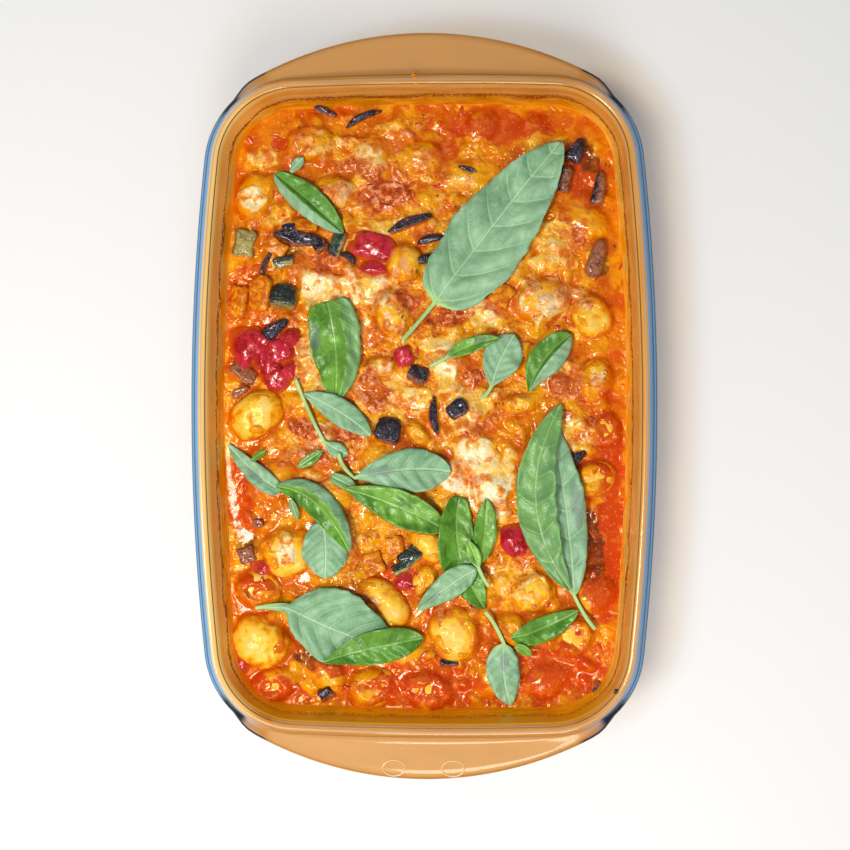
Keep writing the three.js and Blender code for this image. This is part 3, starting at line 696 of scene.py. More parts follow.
# Smaller bits that the solids leave out: kind, x, y, length, width, height, angle, rise
SMALL_BITS = [
    ("tomato", -24, 65.5, 12, 6, 6, -8, 3.5),
    ("tomato", -73, 18.5, 9, 7, 6, 20, 4.5),
    ("dice", -47, -137, 7, 6, 5, 30, 3.5),
    ("wedge", 12, -122, 9, 4.5, 4, -5, 3),
    ("courgette", -11, -77, 8, 5, 4, 25, 4),
    ("dice", -86.5, 16, 13, 6.5, 6, -35, 3),
    ("wedge", -88, 7, 9, 5, 5, 30, 2.5),
    ("strip", 73, -26, 11, 4.5, 4, 50, 4),
    ("wedge", 82, -133, 6, 4.5, 4, 80, 2.5),
    ("slice", 21, 113, 11, 5, 4, -20, 2.5),
    ("dice", -62, 84, 9, 5, 5, 25, 3),
    ("strip", -75, 68, 12, 2.6, 4, 65, 3),
    ("dice", -85, -71, 8, 8, 6, 20, 3.5),
    ("pepper", -14, -66, 8, 7, 5, 10, 3),
    ("wedge", -47, 141, 12, 5, 4, -25, 2.5),
    ("strip", -66, 79.5, 14, 4, 4, -28, 4.5),
    ("dice", -63.5, 84.5, 8, 5, 5, 10, 4),
    ("pepper", -56, 86, 10, 5, 5, -5, 4),
    ("strip", -36, 70, 9, 3.5, 4, -40, 3.5),
    ("dice", -49, 76, 7, 5, 4, 30, 3),
    ("tomato", -88, -124, 8, 5, 4, -40, 2.5),
    ("dice", -79.5, -56, 5, 4, 4, 0, 2.5),
    ("tomato", -87, 21, 13, 8, 7, 80, 3.5),
    ("tomato", -78, 31, 12, 8, 7, 10, 4),
    ("tomato", -65, 32, 11, 7, 6, 50, 4),
    ("tomato", -78, 23, 10, 7, 6, 80, 3.5),
    ("tomato", -64, 17, 9, 6, 6, 80, 3.5),
]

# Melted cheese: x, y, length, width, angle in degrees, cover
CHEESE = [
    (-5, 50, 168, 190, 0, 0.4),
    (-5, -55, 150, 90, 0, 0.3),
    (-42, 55, 52, 26, -5, 1.0),
    (-24, 55, 30, 22, 0, 1.0),
    (-17, 86, 38, 11, 20, 0.95),
    (-34, 120, 46, 26, -12, 0.6),
    (-13, 133, 26, 14, 10, 0.6),
    (-78, 118, 18, 14, 10, 0.75),
    (-81, 100, 15, 14, 0, 0.8),
    (-70, 91, 22, 12, 20, 0.55),
    (-31, 104, 32, 22, 0, 0.7),
    (-56, 22, 13, 34, 4, 0.95),
    (-22, 8, 52, 26, 0, 0.75),
    (-8, 3, 28, 20, 0, 0.8),
    (-50, -18, 56, 26, 8, 0.7),
    (-50, -34, 26, 14, -20, 0.65),
    (-64, -69, 22, 20, 0, 0.9),
    (30, 44, 24, 19, -30, 1.0),
    (7, 30, 28, 10, 10, 0.95),
    (57, 50, 44, 28, 0, 0.75),
    (63, 77, 28, 34, 10, 0.8),
    (25, -34, 44, 44, 0, 1.0),
    (32, -48, 26, 14, -25, 1.0),
    (20, 0, 30, 26, 20, 0.9),
    (10, 14, 14, 22, 10, 0.95),
    (66, 12, 24, 26, 0, 0.75),
    (70, -12, 24, 26, 0, 0.8),
    (45, -82, 36, 26, 0, 0.6),
    (14, -100, 22, 18, 0, 0.5),
    (83, 13, 11, 13, 0, 0.6),
    (-25, -64, 30, 24, 40, 0.4),
    (-12, 35, 26, 20, 0, 0.5),
]

# Browned cheese: x, y, length, width, angle in degrees, strength
BROWNED = [
    (-16, 102, 30, 26, 0, 1.0),
    (-35, 115, 22, 11, 5, 0.75),
    (-46, 68, 20, 15, 20, 0.75),
    (11, 43, 24, 15, 10, 1.15),
    (-8, 50, 18, 12, 0, 0.85),
    (-58, -10, 18, 12, -20, 1.0),
    (-39, -13, 20, 10, -15, 1.0),
    (-24, 7, 17, 22, 10, 0.85),
    (23, 15, 15, 13, 0, 0.85),
    (66, 10, 22, 18, 0, 0.85),
    (29, -9, 24, 9, 35, 0.6),
    (22, -32, 14, 11, 0, 0.45),
    (73, 81, 8, 16, 10, 0.8),
    (-24, 33, 15, 13, 0, 0.6),
    (-55, -24, 46, 16, 5, 0.6),
    (68, -4, 8, 7, 0, 0.7),
    (14, -90, 17, 12, 0, 0.6),
    (-26, -92, 12, 22, 45, 0.7),
    (-73, -44, 30, 14, -20, 0.35),
    (-64, -86, 16, 10, -20, 0.5),
    (45, -69, 24, 8, 0, 0.4),
    (62, -7, 14, 9, 30, 0.5),
    (-13, 126, 24, 10, 20, 0.4),
    (-60, 128, 22, 10, 10, 0.35),
    (45, 43, 20, 10, 0, 0.35),
]

# Red tomato sauce among the orange: x, y, length, width, angle in degrees, strength
RED_SAUCE = [
    (30, 133, 62, 17, 0, 0.8),
    (10, 122, 22, 16, 30, 0.6),
    (-88, -40, 17, 42, 0, 0.85),
    (86, -74, 24, 66, 0, 1.0),
    (88, -20, 18, 70, 0, 0.7),
    (64, -127, 60, 30, 10, 1.0),
    (2, -134, 66, 24, 0, 0.9),
    (-70, -136, 44, 20, -20, 0.75),
    (-41, -124, 22, 12, 0, 1.0),
    (7, -96, 14, 26, 20, 1.0),
    (-84, 61, 20, 18, 0, 0.8),
    (-77, 27, 36, 32, 0, 1.0),
    (-69, 126, 9, 7, 0, 1.2),
    (-12, -82, 20, 22, 0, 0.85),
    (35, 50, 9, 16, 0, 0.9),
    (88, -52, 20, 16, 0, 1.0),
    (78, 106, 22, 32, 0, 0.6),
    (85, -5, 12, 12, 0, 0.9),
    (-78, -84, 22, 16, 20, 0.9),
    (-45, -112, 30, 14, 0, 0.7),
]

# Brown cooked herbs and skins in the sauce, and painted shade round some vegetables: x, y, length,
# width, angle, strength
DARK_SAUCE = [
    (79, -66, 12, 36, 5, 1.0),
    (78, 118, 12, 20, 10, 0.9),
    (84, 68, 11, 24, 0, 0.9),
    (-58, 76, 30, 14, -10, 1.1),
    (-84, -68, 14, 16, 0, 0.8),
    (-30, -82, 16, 20, 40, 0.7),
    (-58, -88, 20, 14, 0, 0.5),
    (-8, 25, 24, 10, -10, 0.7),
    (10, -118, 20, 8, -10, 0.6),
    (-85, 14, 14, 14, 0, 0.7),
    (-40, -76, 20, 30, 30, 0.4),
    (-52, -119, 28, 12, 0, 0.9),
    (-20, -118, 18, 10, 0, 0.6),
]


def buried_lumps():
    """Vegetables and gnocchi just under the sauce: x, y, length, width, degrees, rise."""
    draw = np.random.default_rng(SEED + 2)
    found = []
    for _ in range(LUMP_TRIES):
        x = draw.uniform(-1, 1) * FOOD_HALF_WIDTH
        y = draw.uniform(-1, 1) * FOOD_HALF_LENGTH
        length = draw.uniform(*LUMP_LENGTH)
        width = length * draw.uniform(*LUMP_SHARE)
        degrees = draw.uniform(0, 180)
        rise = draw.uniform(*LUMP_RISE)
        near = [math.hypot(o[0] - x, o[1] - y) - (o[2] + length) * LUMP_SPACING for o in found]
        if inside_food(x, y, length / 2) and min(near, default=1) > 0:
            found.append((x, y, length, width, degrees, rise))
    return found


def inside_food(x, y, margin):
    """Whether a place is at least the margin away from the glass."""
    radius = CORNER_RADIUS - wall_inside(FOOD_EDGE_LEVEL) - margin
    dx = max(abs(x) - CORNER_X, 0)
    dy = max(abs(y) - CORNER_Y, 0)
    return math.hypot(dx, dy) < radius


def between(low, high, share):
    return low + (high - low) * share


def spread_gnocchi():
    """The rest of the top layer, by the same seeded rule as the solid's."""
    draw = random(SEED)
    placed = [(g[0], g[1]) for g in PLAIN_GNOCCHI]
    found = []
    for _ in range(ATTEMPTS):
        x = (2 * draw() - 1) * FOOD_HALF_WIDTH
        y = (2 * draw() - 1) * FOOD_HALF_LENGTH
        size = draw()
        degrees = 180 * draw()
        rise = between(*SPREAD_RISE, draw())
        if not inside_food(x, y, GNOCCHI_WALL_MARGIN):
            continue
        if any(math.hypot(px - x, py - y) < GNOCCHI_SPACING for px, py in placed):
            continue
        if any(math.hypot(v[1] - x, v[2] - y) < VEGETABLE_MARGIN + v[3] / 2 for v in VEGETABLES):
            continue
        placed.append((x, y))
        length = between(*SPREAD_LENGTH, size)
        width = between(*SPREAD_WIDTH, size)
        found.append((x, y, length, width, degrees, rise))
    return found


GNOCCHI = PLAIN_GNOCCHI + spread_gnocchi()
LUMPS = buried_lumps()


def from_middle(x, y, cx, cy, length, width, degrees):
    """Distance from an oval's middle, as a share of its half axes."""
    turn = math.radians(degrees)
    dx, dy = x - cx, y - cy
    along = (dx * math.cos(turn) + dy * math.sin(turn)) / (length / 2)
    across = (dy * math.cos(turn) - dx * math.sin(turn)) / (width / 2)
    return np.sqrt(along**2 + across**2)


def cover(x, y, patches):
    """How far a list of patches covers each place, with ragged edges."""
    rag = 0.3 * lump_noise(x, y, 6, 3) + 0.22 * lump_noise(x, y, 2.6, 4)
    total = np.zeros_like(x)
    for cx, cy, length, width, degrees, strength in patches:
        d = from_middle(x, y, cx, cy, length, width, degrees)
        total = np.maximum(total, strength * smoothstep(d + rag, 1.15, 0.55))
    return total


def soft_highest(heights, softness):
    """The highest of many surfaces, with smooth valleys between them."""
    top = np.max(heights, axis=0)
    total = sum(np.exp((h - top) / softness) for h in heights)
    return top + softness * np.log(total)


def gnocchi_heights(x, y, items, climb=0.0):
    """Top of each gnocco over the plan, falling away outside it; climb is the flanks' coat."""
    heights = []
    wander = 0.3 * lump_noise(x, y, 5, 23) + 0.15 * lump_noise(y, x, 2.5, 24)
    for cx, cy, length, width, degrees, rise in items:
        d = from_middle(x, y, cx, cy, length, width, degrees)
        centre = top_of(cx, cy, rise) - GNOCCO_HEIGHT / 2
        dome = np.sqrt(np.maximum(1 - d**2, 0.36))
        cap = np.where(d < 0.8, dome, 0.6 - 2.4 * (d - 0.8))
        coat = climb * smoothstep(d + wander + 0.12 * (5 - rise), 0.35, 0.8)
        heights.append(centre + GNOCCO_HEIGHT / 2 * np.maximum(cap, -2) + coat)
    return heights


def lump_heights(x, y):
    """Gentle mounds over what lies just under the sauce."""
    total = np.full_like(x, FAR_BELOW)
    for cx, cy, length, width, degrees, rise in LUMPS:
        d = from_middle(x, y, cx, cy, length, width, degrees)
        total = np.maximum(total, top_of(cx, cy, rise) - LUMP_FALL * length * d**2)
    return total


def dome_share(x, y):
    """1 on the middle of each lump that swells the food, 0 in the valleys between."""
    best = np.zeros_like(x)
    wander = 0.16 * lump_noise(x, y, 4, 22)
    for cx, cy, length, width, degrees, _ in GNOCCHI:
        d = from_middle(x, y, cx, cy, length, width, degrees)
        best = np.maximum(best, smoothstep(d + wander, 1.05, 0.25))
    for cx, cy, length, width, degrees, rise in LUMPS:
        d = from_middle(x, y, cx, cy, length, width, degrees)
        best = np.maximum(best, (0.15 + 0.2 * rise) * smoothstep(d + wander, 1.1, 0.2))
    return np.clip(best, 0, 1)


def bake_height(x, y):
    """Top of sauce and melted cheese, which leaves only the plain gnocchi partly bare."""
    level = food_level(x, y) - SAUCE_SINK
    inset = inset_of(x, y)[0] - wall_inside(FOOD_EDGE_LEVEL)
    calm = (0.25 + 0.75 * smoothstep(inset, 2, 12)) * (1 - 0.5 * cover(x, y, RED_SAUCE))
    pulp = 0.5 * lump_noise(x, y, 6.5, 11) + 0.1 * lump_noise(y, x, 2.9, 12)
    sauce = level + calm * (pulp + 0.08 * ridges(x, y, 4.1, 13))
    mounds = lump_heights(x, y)
    bare = gnocchi_heights(x, y, PLAIN_GNOCCHI, CLIMB)
    coated = gnocchi_heights(x, y, GNOCCHI[len(PLAIN_GNOCCHI) :])
    glaze = 0.6 * lump_noise(x, y, 5, 17) + 0.35 * lump_noise(y, x, 2.5, 18)
    skin = calm * (0.38 * lump_noise(x, y, 4.6, 19) + 0.12 * ridges(y, x, 4.6, 21)) + 0.4
    bare = [h + glaze - BARE_PER_RISE * (g[5] - SUNK_RISE) for h, g in zip(bare, PLAIN_GNOCCHI)]
    lying = bare + [h + skin for h in coated] + [mounds + 0.5 * skin]
    wetted = soft_highest([sauce] + lying, 0.5)
    melt = soft_highest([level + 0.4, mounds + 0.2] + bare + coated, 0.9)
    wetted = wetted + MENISCUS * np.exp(-np.maximum(inset, 0) / MENISCUS_WIDTH)
    lumps = 0.6 * lump_noise(x, y, 6.5, 14) + 0.25 * ridges(y, x, 5, 15)
    cheese = smoothstep(cover(x, y, CHEESE), 0.3, 0.8)
    blister = 0.4 * cover(x, y, BROWNED) * ridges(x, y, 4.4, 16)
    top = wetted + cheese * (melt - wetted - 0.6 + CHEESE_DEPTH + lumps) + blister
    for _, cx, cy, length, width, height, degrees, rise in VEGETABLES + SMALL_BITS:
        d = from_middle(x, y, cx, cy, length, width, degrees)
        bed = top_of(cx, cy, rise) - STANDS_OUT * height
        inside = smoothstep(d + 0.25 * lump_noise(x, y, 3, 20), 1.15, 0.75)
        top = top + inside * (np.minimum(top, bed) - top)
    return top


def inset_of(x, y):
    """How far a point lies inside the dish's outline, and the direction outwards."""
    ax, ay = np.abs(x), np.abs(y)
    side = np.arctan2(ay, ax - SIDE_CENTRE) <= SIDE_ANGLE
    end = np.arctan2(ay - END_CENTRE, ax) >= END_ANGLE
    from_side = SIDE_BOW_RADIUS - np.hypot(ax - SIDE_CENTRE, ay)
    from_end = END_BOW_RADIUS - np.hypot(ax, ay - END_CENTRE)
    from_corner = CORNER_RADIUS - np.hypot(ax - CORNER_X, ay - CORNER_Y)
    use_side = side & (~end | (from_side < from_end))
    use_end = end & ~use_side
    cx = np.where(use_side, SIDE_CENTRE, np.where(use_end, 0, CORNER_X))
    cy = np.where(use_side, 0, np.where(use_end, END_CENTRE, CORNER_Y))
    inset = np.where(use_side, from_side, np.where(use_end, from_end, from_corner))
    reach = np.maximum(np.hypot(ax - cx, ay - cy), 1e-6)
    nx = (ax - cx) / reach * np.sign(x + 1e-12)
    ny = (ay - cy) / reach * np.sign(y + 1e-12)
    return inset, nx, ny


def blurred(grid, radius):
    """Mean over the square that reaches the radius, in cells, from each cell."""
    out = grid
    for axis in (0, 1):
        padded = np.pad(out, [(radius + 1, radius) if a == axis else (0, 0) for a in (0, 1)], "edge")
        total = np.cumsum(padded, axis=axis)
        high = np.take(total, range(2 * radius + 1, total.shape[axis]), axis=axis)
        low = np.take(total, range(total.shape[axis] - 2 * radius - 1), axis=axis)
        out = (high - low) / (2 * radius + 1)
    return out


def bake_plan():
    """Grid points inside the dish, those at the wall moved onto it, with heights and faces."""
    edge = wall_inside(FOOD_EDGE_LEVEL) - WALL_REACH
    columns = int(2 * DISH_HALF_WIDTH / BAKE_GRID)
    rows = int(2 * DISH_HALF_LENGTH / BAKE_GRID)
    xs = (np.arange(columns) - (columns - 1) / 2) * BAKE_GRID
    ys = (np.arange(rows) - (rows - 1) / 2) * BAKE_GRID
    x, y = np.meshgrid(xs, ys)
    inset, nx, ny = inset_of(x, y)
    short = edge - inset
    kept = short < SNAP_OUT * BAKE_GRID
    snap = kept & (short > -SNAP_IN * BAKE_GRID)
    x = np.where(snap, x - nx * short, x)
    y = np.where(snap, y - ny * short, y)
    z = bake_height(x, y)
    hollow = z
    for radius in HOLLOW_RADII:
        hollow = blurred(hollow, radius)
    hollow = hollow - z
    whole = kept[:-1, :-1] & kept[1:, :-1] & kept[:-1, 1:] & kept[1:, 1:]
    used = np.zeros_like(kept)
    for di in (0, 1):
        for dj in (0, 1):
            used[di : rows - 1 + di, dj : columns - 1 + dj] |= whole
    number = np.cumsum(used.ravel()).reshape(used.shape) - 1
    i, j = np.nonzero(whole)
    faces = np.column_stack([number[i, j], number[i, j + 1], number[i + 1, j + 1], number[i + 1, j]])
    return x[used], y[used], z[used], hollow[used], faces.tolist()


def border_loop(faces):
    """The points along the outer edge of a sheet of faces, in order."""
    edges = {}
    for face in faces:
        for k in range(len(face)):
            edges[(face[k], face[(k + 1) % len(face)])] = True
    follow = {a: b for a, b in edges if (b, a) not in edges}
    start = next(iter(follow))
    loop = [start]
    while follow[loop[-1]] != start:
        loop.append(follow[loop[-1]])
    return loop


def skirt_rings(plan_x, plan_y, top):
    """Rings from the food's edge down just inside the glass, to its floor."""
    inset, nx, ny = inset_of(plan_x, plan_y)
    section = [
        (wall_inside(INNER_KNEE), INNER_KNEE),
        (HEEL_INSET, HEEL_HEIGHT),
        (FLOOR_EDGE_INSET, FLOOR_EDGE_HEIGHT),
        (FLOOR_INSET, FLOOR_THICKNESS),
    ]
    rings = []
    for k in range(1, WALL_ROWS):
        z = top + (INNER_KNEE - top) * k / WALL_ROWS
        move = wall_inside(z) - WALL_REACH - inset
        rings.append(np.column_stack([plan_x - nx * move, plan_y - ny * move, z]))
    for at, z in section:
        move = at - WALL_REACH - inset
        low = np.full_like(plan_x, z - FLOOR_REACH)
        rings.append(np.column_stack([plan_x - nx * move, plan_y - ny * move, low]))
    return rings


def bake_piece(material):
    """Sauce and melted cheese: the top, with a skirt down the glass and a closed bottom."""
    x, y, z, hollow, faces = bake_plan()
    loop = border_loop(faces)
    rings = skirt_rings(x[loop], y[loop], z[loop])
    points = np.vstack([np.column_stack([x, y, z])] + rings)
    count = len(loop)
    upper = loop
    for k in range(len(rings)):
        first = len(x) + k * count
        lower = range(first, first + count)
        faces += band(upper, lower)
        upper = lower
    faces.append(tuple(reversed(upper)))
    px, py = points[:, 0], points[:, 1]
    side = np.zeros(len(points))
    side[len(x) :] = 1
    top = 1 - side
    inset = inset_of(px, py)[0] - wall_inside(FOOD_EDGE_LEVEL)
    layers = {
        "cheese": cover(px, py, CHEESE) * top,
        "brown": cover(px, py, BROWNED) * top,
        "red": cover(px, py, RED_SAUCE),
        "dark": cover(px, py, DARK_SAUCE) * top,
        "side": side,
        "hollow": np.concatenate([hollow, np.zeros(len(points) - len(x))]),
        "swell": np.clip((points[:, 2] - food_level(px, py) + 1) / 5, 0, 1) * top,
        "dome": dome_share(px, py) * top,
        "edge": np.exp(-np.maximum(inset, 0) / EDGE_FADE),
    }
    piece = make_piece("bake", points, faces, material, layers)
    declare(piece, ["gnocchi_bake"])
    return piece


def ball(segments, rings):
    """A unit ball's points and faces, closed at both poles."""
    points = [(0, 0, -1)]
    for i in range(1, rings):
        polar = math.pi * i / rings
        for j in range(segments):
            turn = 2 * math.pi * j / segments
            across = math.sin(polar)
            points.append((across * math.cos(turn), across * math.sin(turn), -math.cos(polar)))
    points.append((0, 0, 1))
    faces = grid_faces(rings - 1, segments, first=1, closed=True)
    top = len(points) - 1
    last = 1 + (rings - 2) * segments
    for j in range(segments):
        k = (j + 1) % segments
        faces.append((0, 1 + k, 1 + j))
        faces.append((top, last + j, last + k))
    return np.array(points, float), faces


def squared(points, power):
    """Turns a ball into a rounded block; a higher power gives squarer corners."""
    size = np.sum(np.abs(points) ** power, axis=1) ** (1 / power)
    return points / size[:, None]


def turned(points, degrees, first=0, second=1):
    """Turns points from the first axis towards the second."""
    turn = math.radians(degrees)
    a, b = points[:, first], points[:, second]
    out = points.copy()
    out[:, first] = a * math.cos(turn) - b * math.sin(turn)
    out[:, second] = a * math.sin(turn) + b * math.cos(turn)
    return out


class Heap:
    """Many closed meshes that are gathered into one piece."""

    def __init__(self):
        self.points = []
        self.faces = []
        self.layers = {}
        self.count = 0

    def add(self, points, faces, **layers):
        self.points.append(points)
        self.faces += [tuple(self.count + v for v in face) for face in faces]
        for key, values in layers.items():
            values = np.broadcast_to(np.asarray(values, float), (len(points),))
            self.layers.setdefault(key, []).append(values)
        self.count += len(points)

    def piece(self, name, material):
        layers = {key: np.concatenate(values) for key, values in self.layers.items()}
        return make_piece(name, np.vstack(self.points), self.faces, material, layers)


def gnocco_points(unit, item, draw):
    """A gnocco: an oval of dough with flattened sides, soft dents and uneven skin."""
    x, y, length, width, degrees, rise = item
    form = squared(unit, draw.uniform(2.2, 2.6))
    phase = draw.uniform(0, 2 * math.pi, 6)
    u, v, w = form.T
    uneven = 0.04 * np.sin(2.6 * u + phase[0]) * np.cos(2.2 * v + phase[1])
    uneven += 0.02 * np.sin(4.5 * v + 2 * u + phase[2]) + 0.012 * np.sin(7 * u - 4 * v + phase[3])
    dent = 0.05 * np.exp(-((v - 0.3 * math.sin(phase[4])) ** 2) / 0.03) * (w > 0)
    shape = form * (1 + uneven - dent * abs(math.sin(phase[5])))[:, None]
    shape[:, 1] += 0.09 * (1 - u**2) * math.cos(phase[0])
    shape = turned(shape * (length / 2, width / 2, GNOCCO_HEIGHT / 2), degrees)
    return shape + (x, y, top_of(x, y, rise) - GNOCCO_HEIGHT / 2)


def gnocchi_piece(material):
    """The gnocchi that show plainly; those at the left wall are all of the same tone."""
    draw = np.random.default_rng(SEED)
    unit, faces = ball(GNOCCO_SEGMENTS, GNOCCO_RINGS)
    heap = Heap()
    for item in PLAIN_GNOCCHI:
        points = gnocco_points(unit, item, draw)
        px, py = points[:, 0], points[:, 1]
        rise = item[5]
        bare = np.clip((points[:, 2] - food_level(px, py) + 1.5) / (rise + 1.5), 0, 1)
        tone = draw.uniform(0, 1) * (px.mean() > SAME_TONE_UP_TO)
        heap.add(points, faces, stand=bare, tone=tone, brown=cover(px, py, BROWNED))
    declare(heap.piece("gnocchi", material))


# Vegetables


def tomato_form(points):
    """A chunk with a few cut faces, soft edges and one crease."""
    out = squared(points, 3)
    for x, y, z, reach in TOMATO_CUTS:
        beyond = np.maximum(out @ np.array((x, y, z)) - reach, 0)
        out = out - 0.65 * beyond[:, None] * np.array((x, y, z))
    crease = 0.1 * np.exp(-((out[:, 0] - 0.35 * out[:, 1] - 0.1) ** 2) / 0.015)
    out[:, 2] *= 1 - crease * (out[:, 2] > 0)
    return out * (1.25, 1.25, 1.0)


def dice_form(points):
    return squared(points, 8)


def slab_form(points):
    """A flat, wide dice."""
    return squared(points, 7) * (1.1, 1.2, 0.8)


def wedge_form(points):
    """A block that narrows towards one end."""
    out = squared(points, 4)
    out[:, 1] *= 0.75 - 0.25 * out[:, 0]
    return out


def strip_form(points):
    """A narrow strip, bent sideways, with pointed ends."""
    out = squared(points, 3.5)
    along = out[:, 0]
    out[:, 1] = out[:, 1] * (1 - 0.35 * along**2) + 0.7 * (1 - along**2)
    return out


def slice_form(points):
    """Half of a round slice, with its skin along the arch."""
    out = squared(points, 4)
    arch = np.sqrt(np.maximum(1 - out[:, 0] ** 2, 0.04))
    out[:, 1] = -0.5 + (out[:, 1] + 1) / 2 * arch
    return out


# Cut faces of a tomato chunk: direction and distance from its middle
TOMATO_CUTS = [
    (0.72, 0.35, 0.6, 0.62),
    (-0.7, 0.3, 0.65, 0.55),
    (0.1, -0.75, 0.65, 0.6),
    (0.0, 0.28, 0.96, 0.7),
    (-0.5, -0.85, 0.17, 0.75),
    (0.8, -0.58, 0.15, 0.8),
]

FORMS = {
    "tomato": tomato_form,
    "dice": dice_form,
    "courgette": dice_form,
    "pepper": slab_form,
    "wedge": wedge_form,
    "strip": strip_form,
    "slice": slice_form,
}

LABELS = {
    "tomato": "tomato_piece",
    "dice": "aubergine_dice",
    "wedge": "aubergine_wedge",
    "strip": "aubergine_strip",
    "slice": "aubergine_slice",
    "courgette": "courgette_dice",
    "pepper": "pepper_piece",
}


def vegetable_points(unit, item, draw):
    """A cooked vegetable piece with softened, slightly wrinkled sides."""
    kind, x, y, length, width, height, degrees, rise = item
    form = FORMS[kind](unit)
    phase = draw.uniform(0, 2 * math.pi, 3)
    wrinkle = 0.07 * np.sin(3.5 * form[:, 0] + phase[0]) * np.sin(3 * form[:, 1] + phase[1])
    wrinkle += 0.03 * np.sin(9 * form[:, 1] + 5 * form[:, 0] + phase[2])
    shape = form * (1 + wrinkle)[:, None] * (length / 2, width / 2, height / 2)
    leaning = turned(shape, draw.uniform(-LEAN, LEAN), 1, 2)
    return turned(leaning, degrees) + (x, y, top_of(x, y, rise) - height / 2), form


def vegetable_pieces(paints):
    """One piece for each kind, which stands for all the solids of that kind."""
    draw = np.random.default_rng(SEED + 1)
    unit, faces = ball(VEGETABLE_SEGMENTS, VEGETABLE_RINGS)
    for kind, label in LABELS.items():
        heap = Heap()
        for item in VEGETABLES + SMALL_BITS:
            if item[0] != kind:
                continue
            points, form = vegetable_points(unit, item, draw)
            skin = 0.5 + 0.5 * (0.8 * form[:, 1] + 0.6 * form[:, 2])
            above = points[:, 2] - food_level(points[:, 0], points[:, 1])
            tone = draw.uniform(0, 1) + (abs(item[1]) > PEELED_FROM)
            heap.add(points, faces, skin=skin, tone=tone, above=above)
        piece = heap.piece(label + "s", paints[kind])
        nodes = sorted(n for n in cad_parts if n.startswith(label))
        declare(piece, nodes)


# Basil


# What a leaf has where its lines below say nothing else
USUAL_LEAF = dict(widest=0.5, blunt=0, taper=BLADE_FULLNESS, cup=0.1, curl=0,
                  folded=0.85, pale=0, bright=0.3, bruise=(9, 9))

# Stalk's foot, midrib from base to tip, half widths left and right, and shape and colour
LEAVES = [
    dict(stem=(-10, 31), base=(6, 50), mid=(35, 88), tip=(65, 125),
         left=17, right=20.5, widest=0.4, blunt=0.3, cup=0.06, curl=1.5, pale=1),
    dict(base=(-71, 111), mid=(-54, 97), tip=(-38, 82),
         left=7, right=7.5, widest=0.45, cup=0.2, fold=(-0.3, 3.5), bright=0.0),
    dict(base=(-46, 50), mid=(-42, 27), tip=(-42, 2),
         left=12.5, right=11.5, widest=0.4, blunt=0.55, fold=(0.45, 3), folded=0.48,
         bright=0.6, bruise=(0.35, -0.8)),
    dict(stem=(-61, 13), base=(-47, -17), mid=(-42, -20), tip=(-36, -23),
         left=3.5, right=4, widest=0.6, pale=0.6),
    dict(base=(-57, 6), mid=(-41, -2), tip=(-25, -14),
         left=6.5, right=6, widest=0.55, pale=1),
    dict(base=(-60, -29), mid=(-54, -25), tip=(-48, -21),
         left=2.5, right=3),
    dict(base=(-68, -40), mid=(-81, -31), tip=(-94, -18),
         left=5, right=4.5, widest=0.4, blunt=0.4, cup=0.15, curl=0.5, pale=1, bruise=(0.45, 0.3)),
    dict(base=(-48, -55), mid=(-46.5, -68), tip=(-47, -82),
         left=10, right=10.5, widest=0.55, blunt=0.5, cup=0.08, pale=1),
    dict(base=(-70, -38), mid=(-50, -47), tip=(-35, -69),
         left=8, right=6, cup=0.15, fold=(0.35, 2.5), bright=0.5),
    dict(stem=(-40, -22), base=(-33, -34), mid=(-9, -30), tip=(13, -31),
         left=10, right=11, widest=0.6, curl=0.5, pale=1, bruise=(0.25, 0.1)),
    dict(base=(-44, -33), mid=(-38, -36), tip=(-32, -39),
         left=3.5, right=3, blunt=0.4, cup=0.2, pale=0.5),
    dict(base=(-37, -39), mid=(-11, -48), tip=(10, -59),
         left=8.5, right=8.5, widest=0.55, bright=0.5),
    dict(base=(17, -43), mid=(17, -70), tip=(29, -96),
         left=9, right=9, blunt=0.3, cup=0.12),
    dict(base=(25, -77), mid=(12, -85), tip=(-3, -97),
         left=6, right=6.5, widest=0.42, cup=0.14, pale=0.6, bruise=(0.8, 0.1)),
    dict(base=(30, -44), mid=(29, -59), tip=(27, -74),
         left=5.5, right=5, bright=0.4),
    dict(stem=(31, -85), base=(26, -76), mid=(24, -70), tip=(21, -63),
         left=3, right=3, cup=0.2, curl=0.5, bright=1),
    dict(stem=(81, -105), base=(71, -89), mid=(67, -47), tip=(60, -6),
         left=9, right=9.5, widest=0.45, cup=0.08, pale=0.9, bruise=(0.5, -0.6)),
    dict(base=(69, -86), mid=(53, -44), tip=(65, 1),
         left=9, right=9.5, cup=0.12, curl=0.8, pale=0.45),
    dict(stem=(27, 4), base=(32, 9), mid=(36, 21), tip=(43, 34),
         left=8.5, right=9.5, widest=0.6, cup=0.14, pale=1),
    dict(base=(50, 7), mid=(57, 22), tip=(70, 34),
         left=7.5, right=8.5, widest=0.58, cup=0.2, fold=(-0.2, 2.5), bright=0.1),
    dict(stem=(3, 19), base=(11, 23), mid=(22, 28.5), tip=(36, 32),
         left=4, right=3.5, cup=0.15, bright=0.5, bruise=(0.75, 0.3)),
    dict(stem=(-80, -96), base=(-66, -96), mid=(-43, -106), tip=(-13, -117),
         left=20.5, right=15, widest=0.48, taper=0.9, neck=2.6, cup=0.06, pale=0.95),
    dict(base=(-47, -121), mid=(-24, -114.5), tip=(0, -110),
         left=8.5, right=8.5, widest=0.6, cup=0.12, curl=0.5, bright=0.15),
    dict(stem=(29, -97), base=(38, -112), mid=(38, -127), tip=(41, -142),
         left=7.5, right=8, widest=0.42, pale=0.7, bruise=(0.3, 0.1)),
    dict(base=(41.5, -109), mid=(56, -105), tip=(73, -96),
         left=5.5, right=6.5, cup=0.2, curl=0.5),
    dict(base=(43, -113), mid=(47, -114.5), tip=(51, -118),
         left=2.5, right=2.5, cup=0.2, bright=0.5),
]

